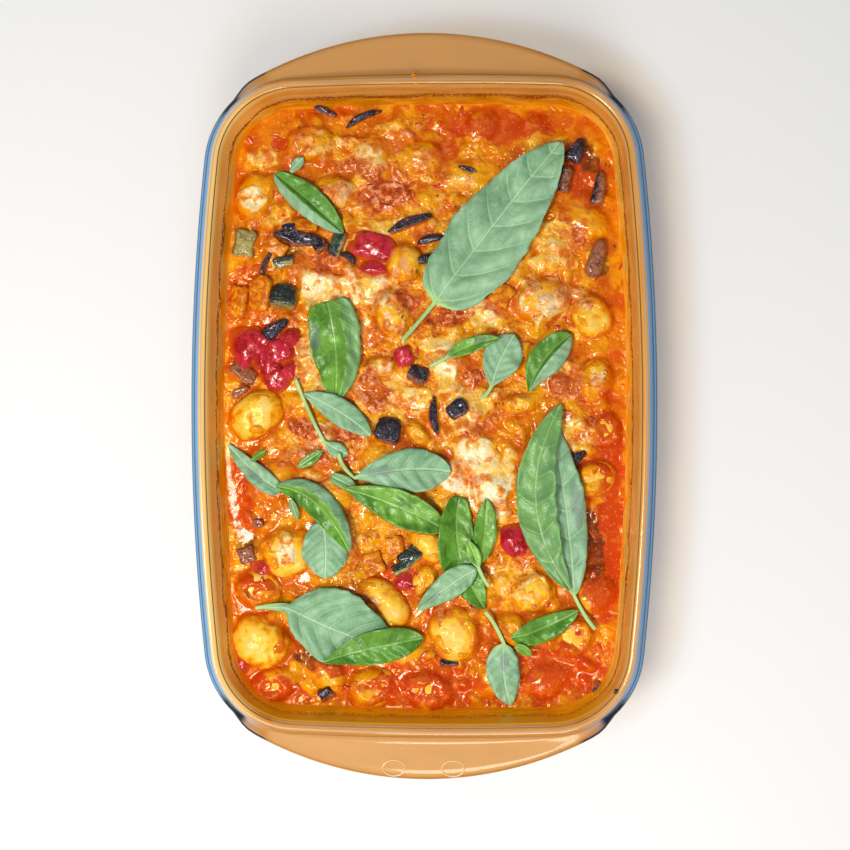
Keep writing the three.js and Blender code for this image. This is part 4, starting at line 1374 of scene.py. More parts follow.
# Leaflets that the solids leave out
SMALL_LEAVES = [
    dict(base=(-63, 111), mid=(-60, 115), tip=(-57, 118),
         left=2.6, right=2.6, pale=0.6),
    dict(base=(-82, -26), mid=(-79, -23.5), tip=(-75, -21),
         left=1.6, right=1.6),
    dict(base=(-63, -44), mid=(-61.5, -49), tip=(-60, -54),
         left=2, right=2, pale=0.5),
]


class Relief:
    """Highest point of what lies in the dish, on a fine grid."""

    def __init__(self):
        self.columns = int(2 * DISH_HALF_WIDTH / RELIEF_STEP) + 1
        self.rows = int(2 * DISH_HALF_LENGTH / RELIEF_STEP) + 1
        xs = np.arange(self.columns) * RELIEF_STEP - DISH_HALF_WIDTH
        ys = np.arange(self.rows) * RELIEF_STEP - DISH_HALF_LENGTH
        self.x, self.y = np.meshgrid(xs, ys)
        self.top = bake_height(self.x, self.y)

    def cells(self, x, y):
        """Row and column of the grid cell at each place."""
        column = np.clip(np.rint((x + DISH_HALF_WIDTH) / RELIEF_STEP), 0, self.columns - 1)
        row = np.clip(np.rint((y + DISH_HALF_LENGTH) / RELIEF_STEP), 0, self.rows - 1)
        return row.astype(int), column.astype(int)

    def raise_ovals(self, ovals):
        """Adds domes: x, y, length, width, degrees, top and half height."""
        for cx, cy, length, width, degrees, top, half in ovals:
            d = from_middle(self.x, self.y, cx, cy, length, width, degrees)
            dome = top - half + half * np.sqrt(np.maximum(1 - d**4, 0))
            self.top = np.where(d < 1, np.maximum(self.top, dome), self.top)

    def add_sheet(self, points):
        """Adds a grid of points, rows by columns by x, y, z, as a closed surface."""
        fine = densify(densify(points, 3).transpose(1, 0, 2), 3)
        row, column = self.cells(fine[..., 0], fine[..., 1])
        np.maximum.at(self.top, (row.ravel(), column.ravel()), fine[..., 2].ravel())

    def highest(self, x, y, radius):
        """Highest point within the radius of each place."""
        reach = int(math.ceil(radius / RELIEF_STEP))
        row, column = self.cells(x, y)
        best = np.zeros_like(x)
        for dy in range(-reach, reach + 1):
            for dx in range(-reach, reach + 1):
                if dx * dx + dy * dy > reach * reach:
                    continue
                r = np.clip(row + dy, 0, self.rows - 1)
                c = np.clip(column + dx, 0, self.columns - 1)
                best = np.maximum(best, self.top[r, c])
        return best


def densify(points, steps):
    """Puts steps - 1 points between each two rows."""
    parts = []
    for s in range(steps):
        t = s / steps
        parts.append(points[:-1] * (1 - t) + points[1:] * t)
    fine = np.stack(parts, axis=1).reshape(-1, *points.shape[1:])
    return np.concatenate([fine, points[-1:]])


def arc_through(start, middle, end, t):
    """Points and directions on a smooth line that passes middle at its half way."""
    start, middle, end = (np.array(p, float) for p in (start, middle, end))
    control = 2 * middle - (start + end) / 2
    t = t[:, None]
    at = (1 - t) ** 2 * start + 2 * t * (1 - t) * control + t**2 * end
    along = 2 * (1 - t) * (control - start) + 2 * t * (end - control)
    return at, along / np.linalg.norm(along, axis=1)[:, None]


def blade_width(t, widest, blunt, taper):
    """Share of the half width along the blade, widest at one place."""
    power = math.log(0.5) / math.log(widest)
    full = np.where(t < widest, taper, BLADE_FULLNESS)
    share = np.maximum(np.sin(math.pi * t**power), 0) ** full
    return np.where(t < widest, blunt + (1 - blunt) * share, share)


def length_of(start, middle, end):
    at, _ = arc_through(start, middle, end, np.linspace(0, 1, 20))
    return float(np.sum(np.linalg.norm(np.diff(at, axis=0), axis=1)))


def leaf_rows(leaf):
    """Midrib points, directions, half widths left and right, t and stalk share."""
    base, mid, tip = leaf["base"], leaf["mid"], leaf["tip"]
    length = length_of(base, mid, tip)
    steps = max(8, round(length / LEAF_STEP))
    t = np.linspace(0, 1, steps + 1)
    at, along = arc_through(base, mid, tip, t)
    share = blade_width(t, leaf["widest"], leaf["blunt"], leaf["taper"])
    least = np.where(t < 0.1, STEM_HALF_WIDTH, TIP_HALF_WIDTH)
    left = np.maximum(leaf["left"] * share, least)
    right = np.maximum(leaf["right"] * share, least)
    stalk = smoothstep(t * length, 4, 0) if "stem" in leaf else np.zeros_like(t)
    if "neck" in leaf:
        left = np.maximum(left, leaf["neck"])
        right = np.maximum(right, leaf["neck"])
        stalk = np.zeros_like(t)
    if "stem" in leaf:
        stem = np.array(leaf["stem"], float)
        half = (stem + np.array(base)) / 2 - 1.5 * along[0]
        long = length_of(stem, half, base)
        s = np.linspace(0, 1, max(4, round(long / LEAF_STEP)) + 1)[:-1]
        stem_at, stem_along = arc_through(stem, half, base, s)
        at = np.vstack([stem_at, at])
        along = np.vstack([stem_along, along])
        foot = leaf.get("neck", STEM_HALF_WIDTH)
        narrow = STEM_HALF_WIDTH + (foot - STEM_HALF_WIDTH) * s**2
        left, right = np.concatenate([narrow, left]), np.concatenate([narrow, right])
        t = np.concatenate([(s - 1) * long / length, t])
        stalk = np.concatenate([np.where(left[: len(s)] > STEM_HALF_WIDTH, 1 - s**2, 1), stalk])
    return at, along, left, right, t, stalk, length


def settle(plan, relief):
    """Lets a sheet down on what lies under it and evens it out."""
    x, y = plan[..., 0], plan[..., 1]
    bed = relief.highest(x, y, SETTLE_NEAR)
    level = relief.highest(x, y, SETTLE_FAR)
    for _ in range(SETTLE_ROUNDS):
        padded = np.pad(level, 1, mode="edge")
        near = padded[:-2, 1:-1] + padded[2:, 1:-1] + padded[1:-1, :-2] + padded[1:-1, 2:]
        level = np.maximum((near + 2 * level) / 6, bed)
    return level


class Leaf:
    """One basil leaf as a grid of points, from its stalk's foot to its tip and edge to edge."""

    def __init__(self, name, form, relief):
        self.form = form = {**USUAL_LEAF, **form}
        at, along, left, right, t, stalk, self.length = leaf_rows(form)
        self.seed = len(name) + sum(map(ord, name))
        self.wide = max(form["left"], form["right"])
        half = max(4, round(self.wide / LEAF_STEP))
        self.v = np.linspace(-1, 1, 2 * half + 1)[None, :]
        self.walk = t[:, None] * self.length
        self.t = np.clip(t, 0, 1)[:, None]
        self.stalk = stalk[:, None]
        self.reach = self.outline(np.where(self.v < 0, right[:, None], left[:, None]) * self.v)
        self.far = np.abs(self.reach)
        self.inner = np.clip(self.far / 3, 0, 1)
        side = np.column_stack([-along[:, 1], along[:, 0]])
        self.plan = at[:, None, :] + side[:, None, :] * self.reach[..., None]
        self.level = settle(self.plan, relief)

    def outline(self, reach):
        """A finely toothed, gently wandering edge."""
        edge_side = np.sign(self.v) * 9.0
        tooth = TOOTH_SHARE * lump_noise(self.walk, edge_side, TOOTH_LENGTH, self.seed)
        reach = reach * np.where(np.abs(self.v) > TOOTHED_FROM, 1 + tooth, 1)
        wander = EDGE_WANDER_SHARE * lump_noise(self.walk, edge_side, EDGE_WANDER, self.seed + 1)
        return reach * (1 + wander)

    def lift(self):
        """How the blade is cupped, waved and curled up at the tip."""
        wave = WAVE_SHARE * self.far * (1 + np.sin(8 * self.t + 2 * self.v + self.seed))
        flutter = np.sin(17 * self.t + 1.5 * np.sign(self.v) + self.seed)
        wave = wave + WAVE_SHARE * self.wide * self.v**2 * flutter
        return self.form["cup"] * self.far + wave + self.form["curl"] * self.t**3

    def fold(self, lift):
        """Adds a fold along the blade and says which part is turned over."""
        if "fold" not in self.form:
            return lift, np.zeros_like(lift)
        fold_at, fold_high = self.form["fold"]
        swell = np.sin(math.pi * self.t) ** 0.6
        crest = fold_high * np.exp(-(((self.v - fold_at) / FOLD_WIDTH) ** 2)) * swell
        beyond = (self.v - fold_at) * np.sign(fold_at)
        lift = np.where(beyond > 0, lift * (1 - np.clip(beyond * 1.2, 0, 1)), lift)
        return lift + crest, smoothstep(beyond, 0.0, 0.06) * np.ones_like(lift)

    def vein(self):
        """Counts the side veins, which leave the midrib at a slant."""
        return (self.walk - 0.55 * self.far - 0.03 * self.far**2) / max(self.length / 6.5, 3.5)

    def veined(self, pale):
        """Midrib and side veins, raised on the underside and sunk into the upper side."""
        quilt = 1 - 2 * np.abs(np.sin(math.pi * self.vein())) ** 0.7
        quilt = quilt * self.inner * np.clip((1 - np.abs(self.v)) * 4, 0, 1)
        rib = RIB_HEIGHT * np.exp(-((self.far / RIB_WIDTH) ** 2)) * (1 - 0.5 * self.t)
        sign = np.where(pale > 0.5, 1, -1)
        return (rib - VEIN_HEIGHT * min(self.wide / BROAD_LEAF, 1) * quilt) * sign

    def crease(self):
        """Puckers over the whole blade, weaker on a narrow one."""
        rough = ridges(self.walk / 2.5, self.reach, LEAF_LUMP, self.seed + 2)
        return rough * self.inner * min(self.wide / BROAD_LEAF, 1)

    def bruise(self):
        """A dull spot on the blade, where the leaf has one."""
        along, across = self.form["bruise"]
        return np.exp(-(((self.t - along) / 0.2) ** 2) - ((self.v - across) / 0.45) ** 2)

    def piece(self, name, relief, material):
        """Blade and stalk as one closed solid."""
        lift, folded = self.fold(self.lift())
        pale = np.maximum(self.form["pale"], folded * self.form["folded"])
        blade = 1 - self.stalk
        form = lift + self.veined(pale) + CREASE_HEIGHT * self.crease()
        z = self.level + LEAF_CLEARANCE + form * blade
        thick = LEAF_THICKNESS * (1 - 0.6 * np.abs(self.v) ** 4) * blade
        stalk = STEM_THICKNESS * np.sqrt(np.maximum(1 - self.v**2, 0.02)) * (1 - blade)
        raised = STEM_THICKNESS * 0.5 * (1 - blade)
        under = np.dstack([self.plan, z - stalk * 0.5 + raised])
        over = np.dstack([self.plan, z + thick + stalk * 0.5 + raised])
        whole = np.zeros_like(self.reach)
        layers = {
            "vein": self.vein(),
            "across": self.reach,
            "along": self.walk + whole,
            "edge": np.abs(self.v) + whole,
            "pale": pale,
            "bright": self.form["bright"] + whole,
            "bruise": self.bruise(),
            "stalk": self.stalk + whole,
        }
        relief.add_sheet(over)
        return sheet_piece(name, under, over, layers, material)


def sheet_piece(name, under, over, layers, material):
    """A closed thin solid between two grids of points, whose rows run from right to left."""
    rows, columns = under.shape[:2]
    count = rows * columns
    below = grid_faces(rows, columns)
    faces = [tuple(count + v for v in reversed(face)) for face in below] + below
    edge = list(range(columns - 1))
    edge += [i * columns + columns - 1 for i in range(rows - 1)]
    edge += [(rows - 1) * columns + j for j in range(columns - 1, 0, -1)]
    edge += [i * columns for i in range(rows - 1, 0, -1)]
    faces += band(edge, [count + v for v in edge])
    points = np.vstack([under.reshape(-1, 3), over.reshape(-1, 3)])
    doubled = {key: np.concatenate([value.ravel()] * 2) for key, value in layers.items()}
    return make_piece(name, points, faces, material, doubled)


def basil_pieces(material):
    """Leaves laid one after the other, each on all that lies there already."""
    relief = Relief()
    relief.raise_ovals(
        (x, y, length, width, degrees, top_of(x, y, rise), GNOCCO_HEIGHT / 2)
        for x, y, length, width, degrees, rise in GNOCCHI
    )
    relief.raise_ovals(
        (x, y, length, width, degrees, top_of(x, y, rise), height / 2)
        for _, x, y, length, width, height, degrees, rise in VEGETABLES + SMALL_BITS
    )
    for k, form in enumerate(LEAVES, 1):
        name = "leaf_%d" % k
        piece = Leaf(name, form, relief).piece(name, relief, material)
        declare(piece, ["basil_" + name])
    for k, form in enumerate(SMALL_LEAVES, 1):
        name = "leaflet_%d" % k
        piece = Leaf(name, form, relief).piece(name, relief, material)
        declare(piece)


# The baked-on film on the glass


def film_piece(material):
    """Oil and sauce baked onto the inner wall, from the food up to the rim."""
    stations = outline_stations(*FILM_STATIONS)
    heights = np.linspace(FOOD_EDGE_LEVEL - FILM_DIP, RIM_INNER_EDGE, FILM_ROWS)
    inner = [(wall_inside(z) + FILM_THICKNESS, z) for z in heights]
    outer = [(wall_inside(z) - FILM_THICKNESS, z) for z in heights[::-1]]
    points = np.vstack([ring_points(stations, inset, z) for inset, z in inner + outer])
    rows = 2 * FILM_ROWS
    count = len(stations)
    faces = [tuple(reversed(face)) for face in grid_faces(rows, count, closed=True)]
    faces += band(range((rows - 1) * count, rows * count), range(count))
    layers = {
        "around": np.tile(walked(station_points(stations, wall_inside(FOOD_EDGE_LEVEL))), rows),
        "height": points[:, 2],
        "long_side": np.tile(on_long_side(stations), rows),
        "front": np.tile(smoothstep(-stations[:, 4], *FRONT_FADE), rows),
    }
    declare(make_piece("baked_film", points, faces, material, layers))


# What the oven and the cook left on it


def rim_height(inset):
    """Height of the top of the rim at a distance inside the dish's outline."""
    section = dish_section()
    upper = section[(section[:, 1] > FLANGE_TOP - 0.1) & (section[:, 0] < WALL_INSET_INSIDE + 0.1)]
    return float(np.interp(inset, upper[:, 0], upper[:, 1]))


def rough_lump(unit, ragged, draw):
    """A ball with an uneven surface."""
    return unit * (1 + draw.uniform(-ragged, ragged, len(unit)))[:, None]


def spill_pieces(sauce, burnt):
    """A smear of orange sauce on the back rim and a burnt speck on the front right corner."""
    draw = np.random.default_rng(SEED + 3)
    unit, faces = ball(SPILL_SEGMENTS, SPILL_RINGS)
    smear = Heap()
    for inset, across, size in SMEAR:
        shape = rough_lump(unit, 0.2, draw) * (size, 0.8 * size, SMEAR_HEIGHT)
        shape = shape + (across, DISH_HALF_LENGTH - inset, rim_height(inset))
        shape[:, 2] = np.minimum(shape[:, 2], DISH_HEIGHT)
        smear.add(shape, faces)
    declare(smear.piece("smear", sauce))
    turn = math.radians(SPECK_DEGREES)
    out = CORNER_RADIUS - SPECK_INSET
    x = CORNER_X + out * math.cos(turn)
    y = CORNER_Y + out * math.sin(turn)
    shape = rough_lump(squared(unit, 4), 0.25, draw) * SPECK_SIZE
    shape = shape + (x, -y, rim_height(SPECK_INSET))
    declare(make_piece("burnt_speck", shape, faces, burnt))


def oval_pieces(material):
    """Two plain ovals moulded on the front handle."""
    heap = Heap()
    across = [2 * math.pi * k / OVAL_SIDES for k in range(OVAL_SIDES)]
    faces = []
    for k in range(OVAL_STEPS):
        a, b = k * OVAL_SIDES, (k + 1) % OVAL_STEPS * OVAL_SIDES
        for m in range(OVAL_SIDES):
            n = (m + 1) % OVAL_SIDES
            faces.append((a + m, b + m, b + n, a + n))
    for x in HANDLE_OVALS:
        points = []
        for k in range(OVAL_STEPS):
            turn = 2 * math.pi * k / OVAL_STEPS
            out = np.array([math.cos(turn), math.sin(turn), 0])
            centre = np.array([x, -OVAL_Y, FLANGE_TOP]) + out * OVAL_RADII
            for a in across:
                high = (0, 0, OVAL_HEIGHT * math.sin(a))
                points.append(centre + out * OVAL_WIDTH * math.cos(a) + high)
        heap.add(np.array(points), faces)
    declare(heap.piece("handle_ovals", material))


class Tree:
    """A tree of geometry nodes with named inputs."""

    def __init__(self, name, inputs):
        self.group = bpy.data.node_groups.new(name, "GeometryNodeTree")
        self.keys = {}
        self.group.interface.new_socket("Surface", in_out="INPUT", socket_type="NodeSocketGeometry")
        for label, kind in inputs.items():
            socket = self.group.interface.new_socket(label, in_out="INPUT", socket_type=kind)
            self.keys[label] = socket.identifier
        self.group.interface.new_socket("Result", in_out="OUTPUT", socket_type="NodeSocketGeometry")
        self.given = self.group.nodes.new("NodeGroupInput")

    def node(self, kind, settings=None, inputs=None):
        made = self.group.nodes.new(kind)
        for key, value in (settings or {}).items():
            setattr(made, key, value)
        for key, value in (inputs or {}).items():
            if isinstance(value, bpy.types.NodeSocket):
                self.group.links.new(value, made.inputs[key])
            else:
                made.inputs[key].default_value = value
        return made

    def finish(self, socket):
        last = self.group.nodes.new("NodeGroupOutput")
        self.group.links.new(socket, last.inputs["Result"])


def scatter_tree():
    """Spreads small flat bits over a surface, off the cheese and what lies against the glass."""
    numbers = {
        "Per square metre": "NodeSocketFloat",
        "Length": "NodeSocketFloat",
        "Width": "NodeSocketFloat",
        "Thickness": "NodeSocketFloat",
        "Seed": "NodeSocketInt",
        "Finish": "NodeSocketMaterial",
    }
    tree = Tree("scattered bits", numbers)
    given = tree.given.outputs
    side = tree.node("GeometryNodeInputNamedAttribute", {"data_type": "FLOAT"}, {"Name": "side"})
    cheese = tree.node("GeometryNodeInputNamedAttribute", {"data_type": "FLOAT"}, {"Name": "cheese"})
    masks = {0: side.outputs[0], 1: cheese.outputs[0]}
    kept_off = tree.node("ShaderNodeMath", {"operation": "ADD"}, masks)
    limit = {0: kept_off.outputs[0], 1: SCATTER_LIMIT}
    top = tree.node("FunctionNodeCompare", {"operation": "LESS_THAN"}, limit)
    places = {
        "Mesh": given["Surface"],
        "Selection": top.outputs[0],
        "Density": given["Per square metre"],
        "Seed": given["Seed"],
    }
    spread = tree.node("GeometryNodeDistributePointsOnFaces", {}, places)
    bit = tree.node("GeometryNodeMeshIcoSphere", {}, {"Radius": 0.5, "Subdivisions": 2})
    sizes = {0: given["Length"], 1: given["Width"], 2: given["Thickness"]}
    size = tree.node("ShaderNodeCombineXYZ", {}, sizes)
    flattened = {"Geometry": bit.outputs["Mesh"], "Scale": size.outputs[0]}
    shaped = tree.node("GeometryNodeTransform", {}, flattened)
    turn, grow = [
        tree.node(
            "FunctionNodeRandomValue",
            {"data_type": "FLOAT_VECTOR"},
            {0: low, 1: high, "Seed": given["Seed"]},
        )
        for low, high in (SCATTER_TURN, SCATTER_GROWTH)
    ]
    copies = {
        "Points": spread.outputs["Points"],
        "Instance": shaped.outputs["Geometry"],
        "Rotation": turn.outputs[0],
        "Scale": grow.outputs[0],
    }
    placed = tree.node("GeometryNodeInstanceOnPoints", {}, copies)
    real = tree.node("GeometryNodeRealizeInstances", {}, {"Geometry": placed.outputs["Instances"]})
    finish = {"Geometry": real.outputs["Geometry"], "Material": given["Finish"]}
    done = tree.node("GeometryNodeSetMaterial", {}, finish)
    tree.finish(done.outputs["Geometry"])
    return tree


def scattered_piece(name, surface, tree, values):
    """A plain mesh of bits that the tree spreads over a copy of the surface."""
    carrier = put_in_scene(name + "_bed", surface.data.copy())
    modifier = carrier.modifiers.new("spread", "NODES")
    modifier.node_group = tree.group
    for label, value in values.items():
        modifier[tree.keys[label]] = value
    graph = bpy.context.evaluated_depsgraph_get()
    mesh = bpy.data.meshes.new_from_object(carrier.evaluated_get(graph))
    bpy.data.objects.remove(carrier)
    mesh.name = name
    mesh.materials.clear()
    declare(finish_piece(name, mesh, values["Finish"]))


# Bits scattered over the sauce: name, finish and its two colours,
# bits per square metre, length, width, thickness and seed
SCATTERED = [
    ("herb_flecks", "cooked herbs", (0.09, 0.07, 0.015), (0.22, 0.035, 0.008),
     2600.0, 2.0, 0.9, 0.4, 5),
    ("tomato_shreds", "tomato shreds", (0.56, 0.045, 0.004), (0.74, 0.13, 0.012),
     3400.0, 4.2, 1.9, 0.6, 8),
]


def scattered_pieces(bed):
    tree = scatter_tree()
    for name, finish, first, second, density, length, width, thickness, seed in SCATTERED:
        values = {
            "Per square metre": density,
            "Length": length * MM,
            "Width": width * MM,
            "Thickness": thickness * MM,
            "Seed": seed,
            "Finish": fleck_paint(finish, first, second),
        }
        scattered_piece(name, bed, tree, values)


# Paints


def plain_paint(name, colour, roughness):
    paint = Paint(name)
    return paint.finish(paint.principled(Base_Color=colour, Roughness=roughness))


def fleck_paint(name, first, second):
    paint = Paint(name)
    change = paint.noise(6, detail=1)
    colour = paint.mix(change.step(0.42, 0.58), first, second)
    return paint.finish(paint.principled(Base_Color=colour, Roughness=0.22))


class GlassPaint(Paint):
    """Amber glass, with blue along its outer edge: a painted reflection of the sky, also the faint
    blue of thick glass.
    """

    def __init__(self):
        super().__init__("amber glass")
        self.around, self.inset, self.long_side = self.attributes("around", "inset", "long_side")
        self.height = self.coordinate(2) / MM
        self.front = self.coordinate(1).step(0.05, -0.05)
        self.right = self.coordinate(0).step(-0.05, 0.05)
        self.rim = self.height.step(49, 53)
        self.bent = self.long_side.step(0.0, 0.1)
        self.edge = self.inset.step(4.6, 4.0) * self.rim * self.long_side

    def line(self, inset, outer, inner):
        """A soft line along the rim."""
        return abs(self.inset - inset).step(outer, inner)

    def blue(self):
        # Painted reflection: light blue with dark stripes along the outer edge of the long sides.
        stripes = (self.line(1.9, 0.5, 0.2) + self.line(0.4, 0.5, 0.2)).at_most(1.0)
        return self.mix(stripes * 0.8, (0.18, 0.45, 0.78), (0.012, 0.035, 0.10))

    def tan(self):
        """The rim's tan, streaked and lined; its paler left side and its darker ends and front are
        painted light and shade.
        """
        walk = self.join(self.around * (0.02 * MM), self.inset * MM)
        streaks = self.noise(0.8, walk, detail=3).step(0.38, 0.6)
        tan = self.mix(streaks, (0.66, 0.24, 0.015), (0.98, 0.50, 0.10))
        # Painted shade at the ends, deeper at the front, and painted light on the left side.
        at_end = self.mix(0.5, tan, (0.56, 0.25, 0.03))
        at_end = self.mix(self.front * 0.45, at_end, (0.48, 0.17, 0.01))
        at_side = self.mix(self.right, (1.0, 0.66, 0.20), (0.74, 0.34, 0.05))
        at_side = self.mix(0.75, tan, at_side)
        tan = self.mix(self.long_side.step(0.0, 0.9), at_end, at_side)
        tan = self.mix(self.line(2.1, 0.5, 0.3) * (1 - self.bent), tan, (0.68, 0.36, 0.12))
        tan = self.mix(self.line(5.4, 0.5, 0.2), tan, (0.62, 0.40, 0.28))
        return self.mix(self.line(7.4, 0.35, 0.15), tan, (0.16, 0.05, 0.01))

    def dark(self):
        """The dark band along the outer edge of each corner, a painted dark reflection in the glass.
        """
        narrow = (self.long_side + self.front * 0.15).step(0.55, 0.72)
        within = (self.inset - self.front).step(3.0, 2.4) * narrow
        band = self.inset.step(1.6, 1.3).at_least(within) * self.height.step(55.8, 56.8)
        return band * (self.bent * self.long_side.step(0.99, 0.85))


def glass_paint():
    paint = GlassPaint()
    dark = paint.dark()
    # The rim's colour: oil-streaked tan with painted light and shade, and the painted blue and dark
    # reflections.
    stain_and_reflections = paint.mix(paint.edge, paint.tan(), paint.blue())
    # Dark navy at the corners, a painted dark reflection.
    stain_and_reflections = paint.mix(dark * paint.rim, stain_and_reflections, (0.006, 0.015, 0.03))
    tint = paint.mix(paint.rim, (0.95, 0.84, 0.66), (0.78, 0.48, 0.20))
    # Blue tint on the outer edge, a painted reflection of the sky.
    tint = paint.mix(paint.edge, tint, (0.5, 0.72, 0.95))
    glass = paint.principled(Base_Color=tint, Roughness=0.02, IOR=1.47, Transmission_Weight=1.0)
    glass = paint.blend(0.6 - paint.rim * 0.6, glass, paint.see_through((0.97, 0.90, 0.78)))
    sheen = paint.principled(Base_Color=stain_and_reflections, Roughness=0.22, Specular_Tint=(1.0, 0.78, 0.5))
    # More of the painted rim shows on the left side, as painted light, and at the dark corners.
    shown = 0.6 + paint.bent * (0.28 - paint.right * 0.13) + dark * 0.25
    glass = paint.blend((paint.rim * shown).at_most(1.0), glass, sheen)
    shadow = paint.node("ShaderNodeLightPath", output="Is Shadow Ray")
    return paint.finish(paint.blend(shadow, glass, paint.see_through((0.9, 0.84, 0.76))))


def film_paint():
    """Clear oil above, orange sauce below, with a dark tide line between them."""
    paint = Paint("baked oil film")
    around, height, long_side, front = paint.attributes("around", "height", "long_side", "front")
    lines = paint.noise(1.3, paint.join(around * (0.04 * MM), height * MM))
    stretched = paint.join(around * (0.5 * MM), height * (1.6 * MM))
    blots = paint.noise(8, stretched, detail=3, distortion=0.5)
    specks = paint.noise(1.4, paint.join(around * MM, height * (1.6 * MM)), detail=3)
    share = (height - FOOD_EDGE_LEVEL) / (RIM_INNER_EDGE - FOOD_EDGE_LEVEL)
    tide = 0.52 + (blots - 0.5) * 0.45
    below = (tide - share).step(-0.02, 0.08)
    clear = (blots + (lines - 0.5) * 0.5).step(0.52, 0.58) * share.step(0.1, 0.4)
    line = abs(tide - share).step(0.15 - long_side * 0.08, 0.03)
    line = line * specks.step(0.44, 0.52) * (1 - front * 0.4)
    fine = abs(lines - 0.5).step(0.014, 0.0) * below
    # The ends painted darker and the long sides lighter: painted shade and light.
    at_end = paint.mix(blots.step(0.4, 0.6), (0.62, 0.19, 0.0), (0.80, 0.34, 0.003))
    at_side = paint.mix(blots.step(0.4, 0.6), (1.0, 0.36, 0.0), (1.0, 0.60, 0.08))
    colour = paint.mix(long_side, at_end, at_side)
    # The front wall painted brighter, as painted light.
    colour = paint.mix(front * 0.85, colour, (1.0, 0.50, 0.005))
    colour = paint.mix(line.at_least(fine * 0.8), colour, (0.24, 0.045, 0.004))
    coat = paint.principled(Base_Color=colour, Roughness=0.25, Specular_Tint=(1.0, 0.6, 0.2))
    amount = (below * (0.85 - clear * 0.4) + 0.15).at_least(line).at_least(fine * 0.7)
    # More opaque at the front, so its painted light shows.
    amount = (amount + front * 0.6).at_most(1.0)
    return paint.finish(paint.blend(amount, paint.see_through((1.0, 0.93, 0.8)), coat))


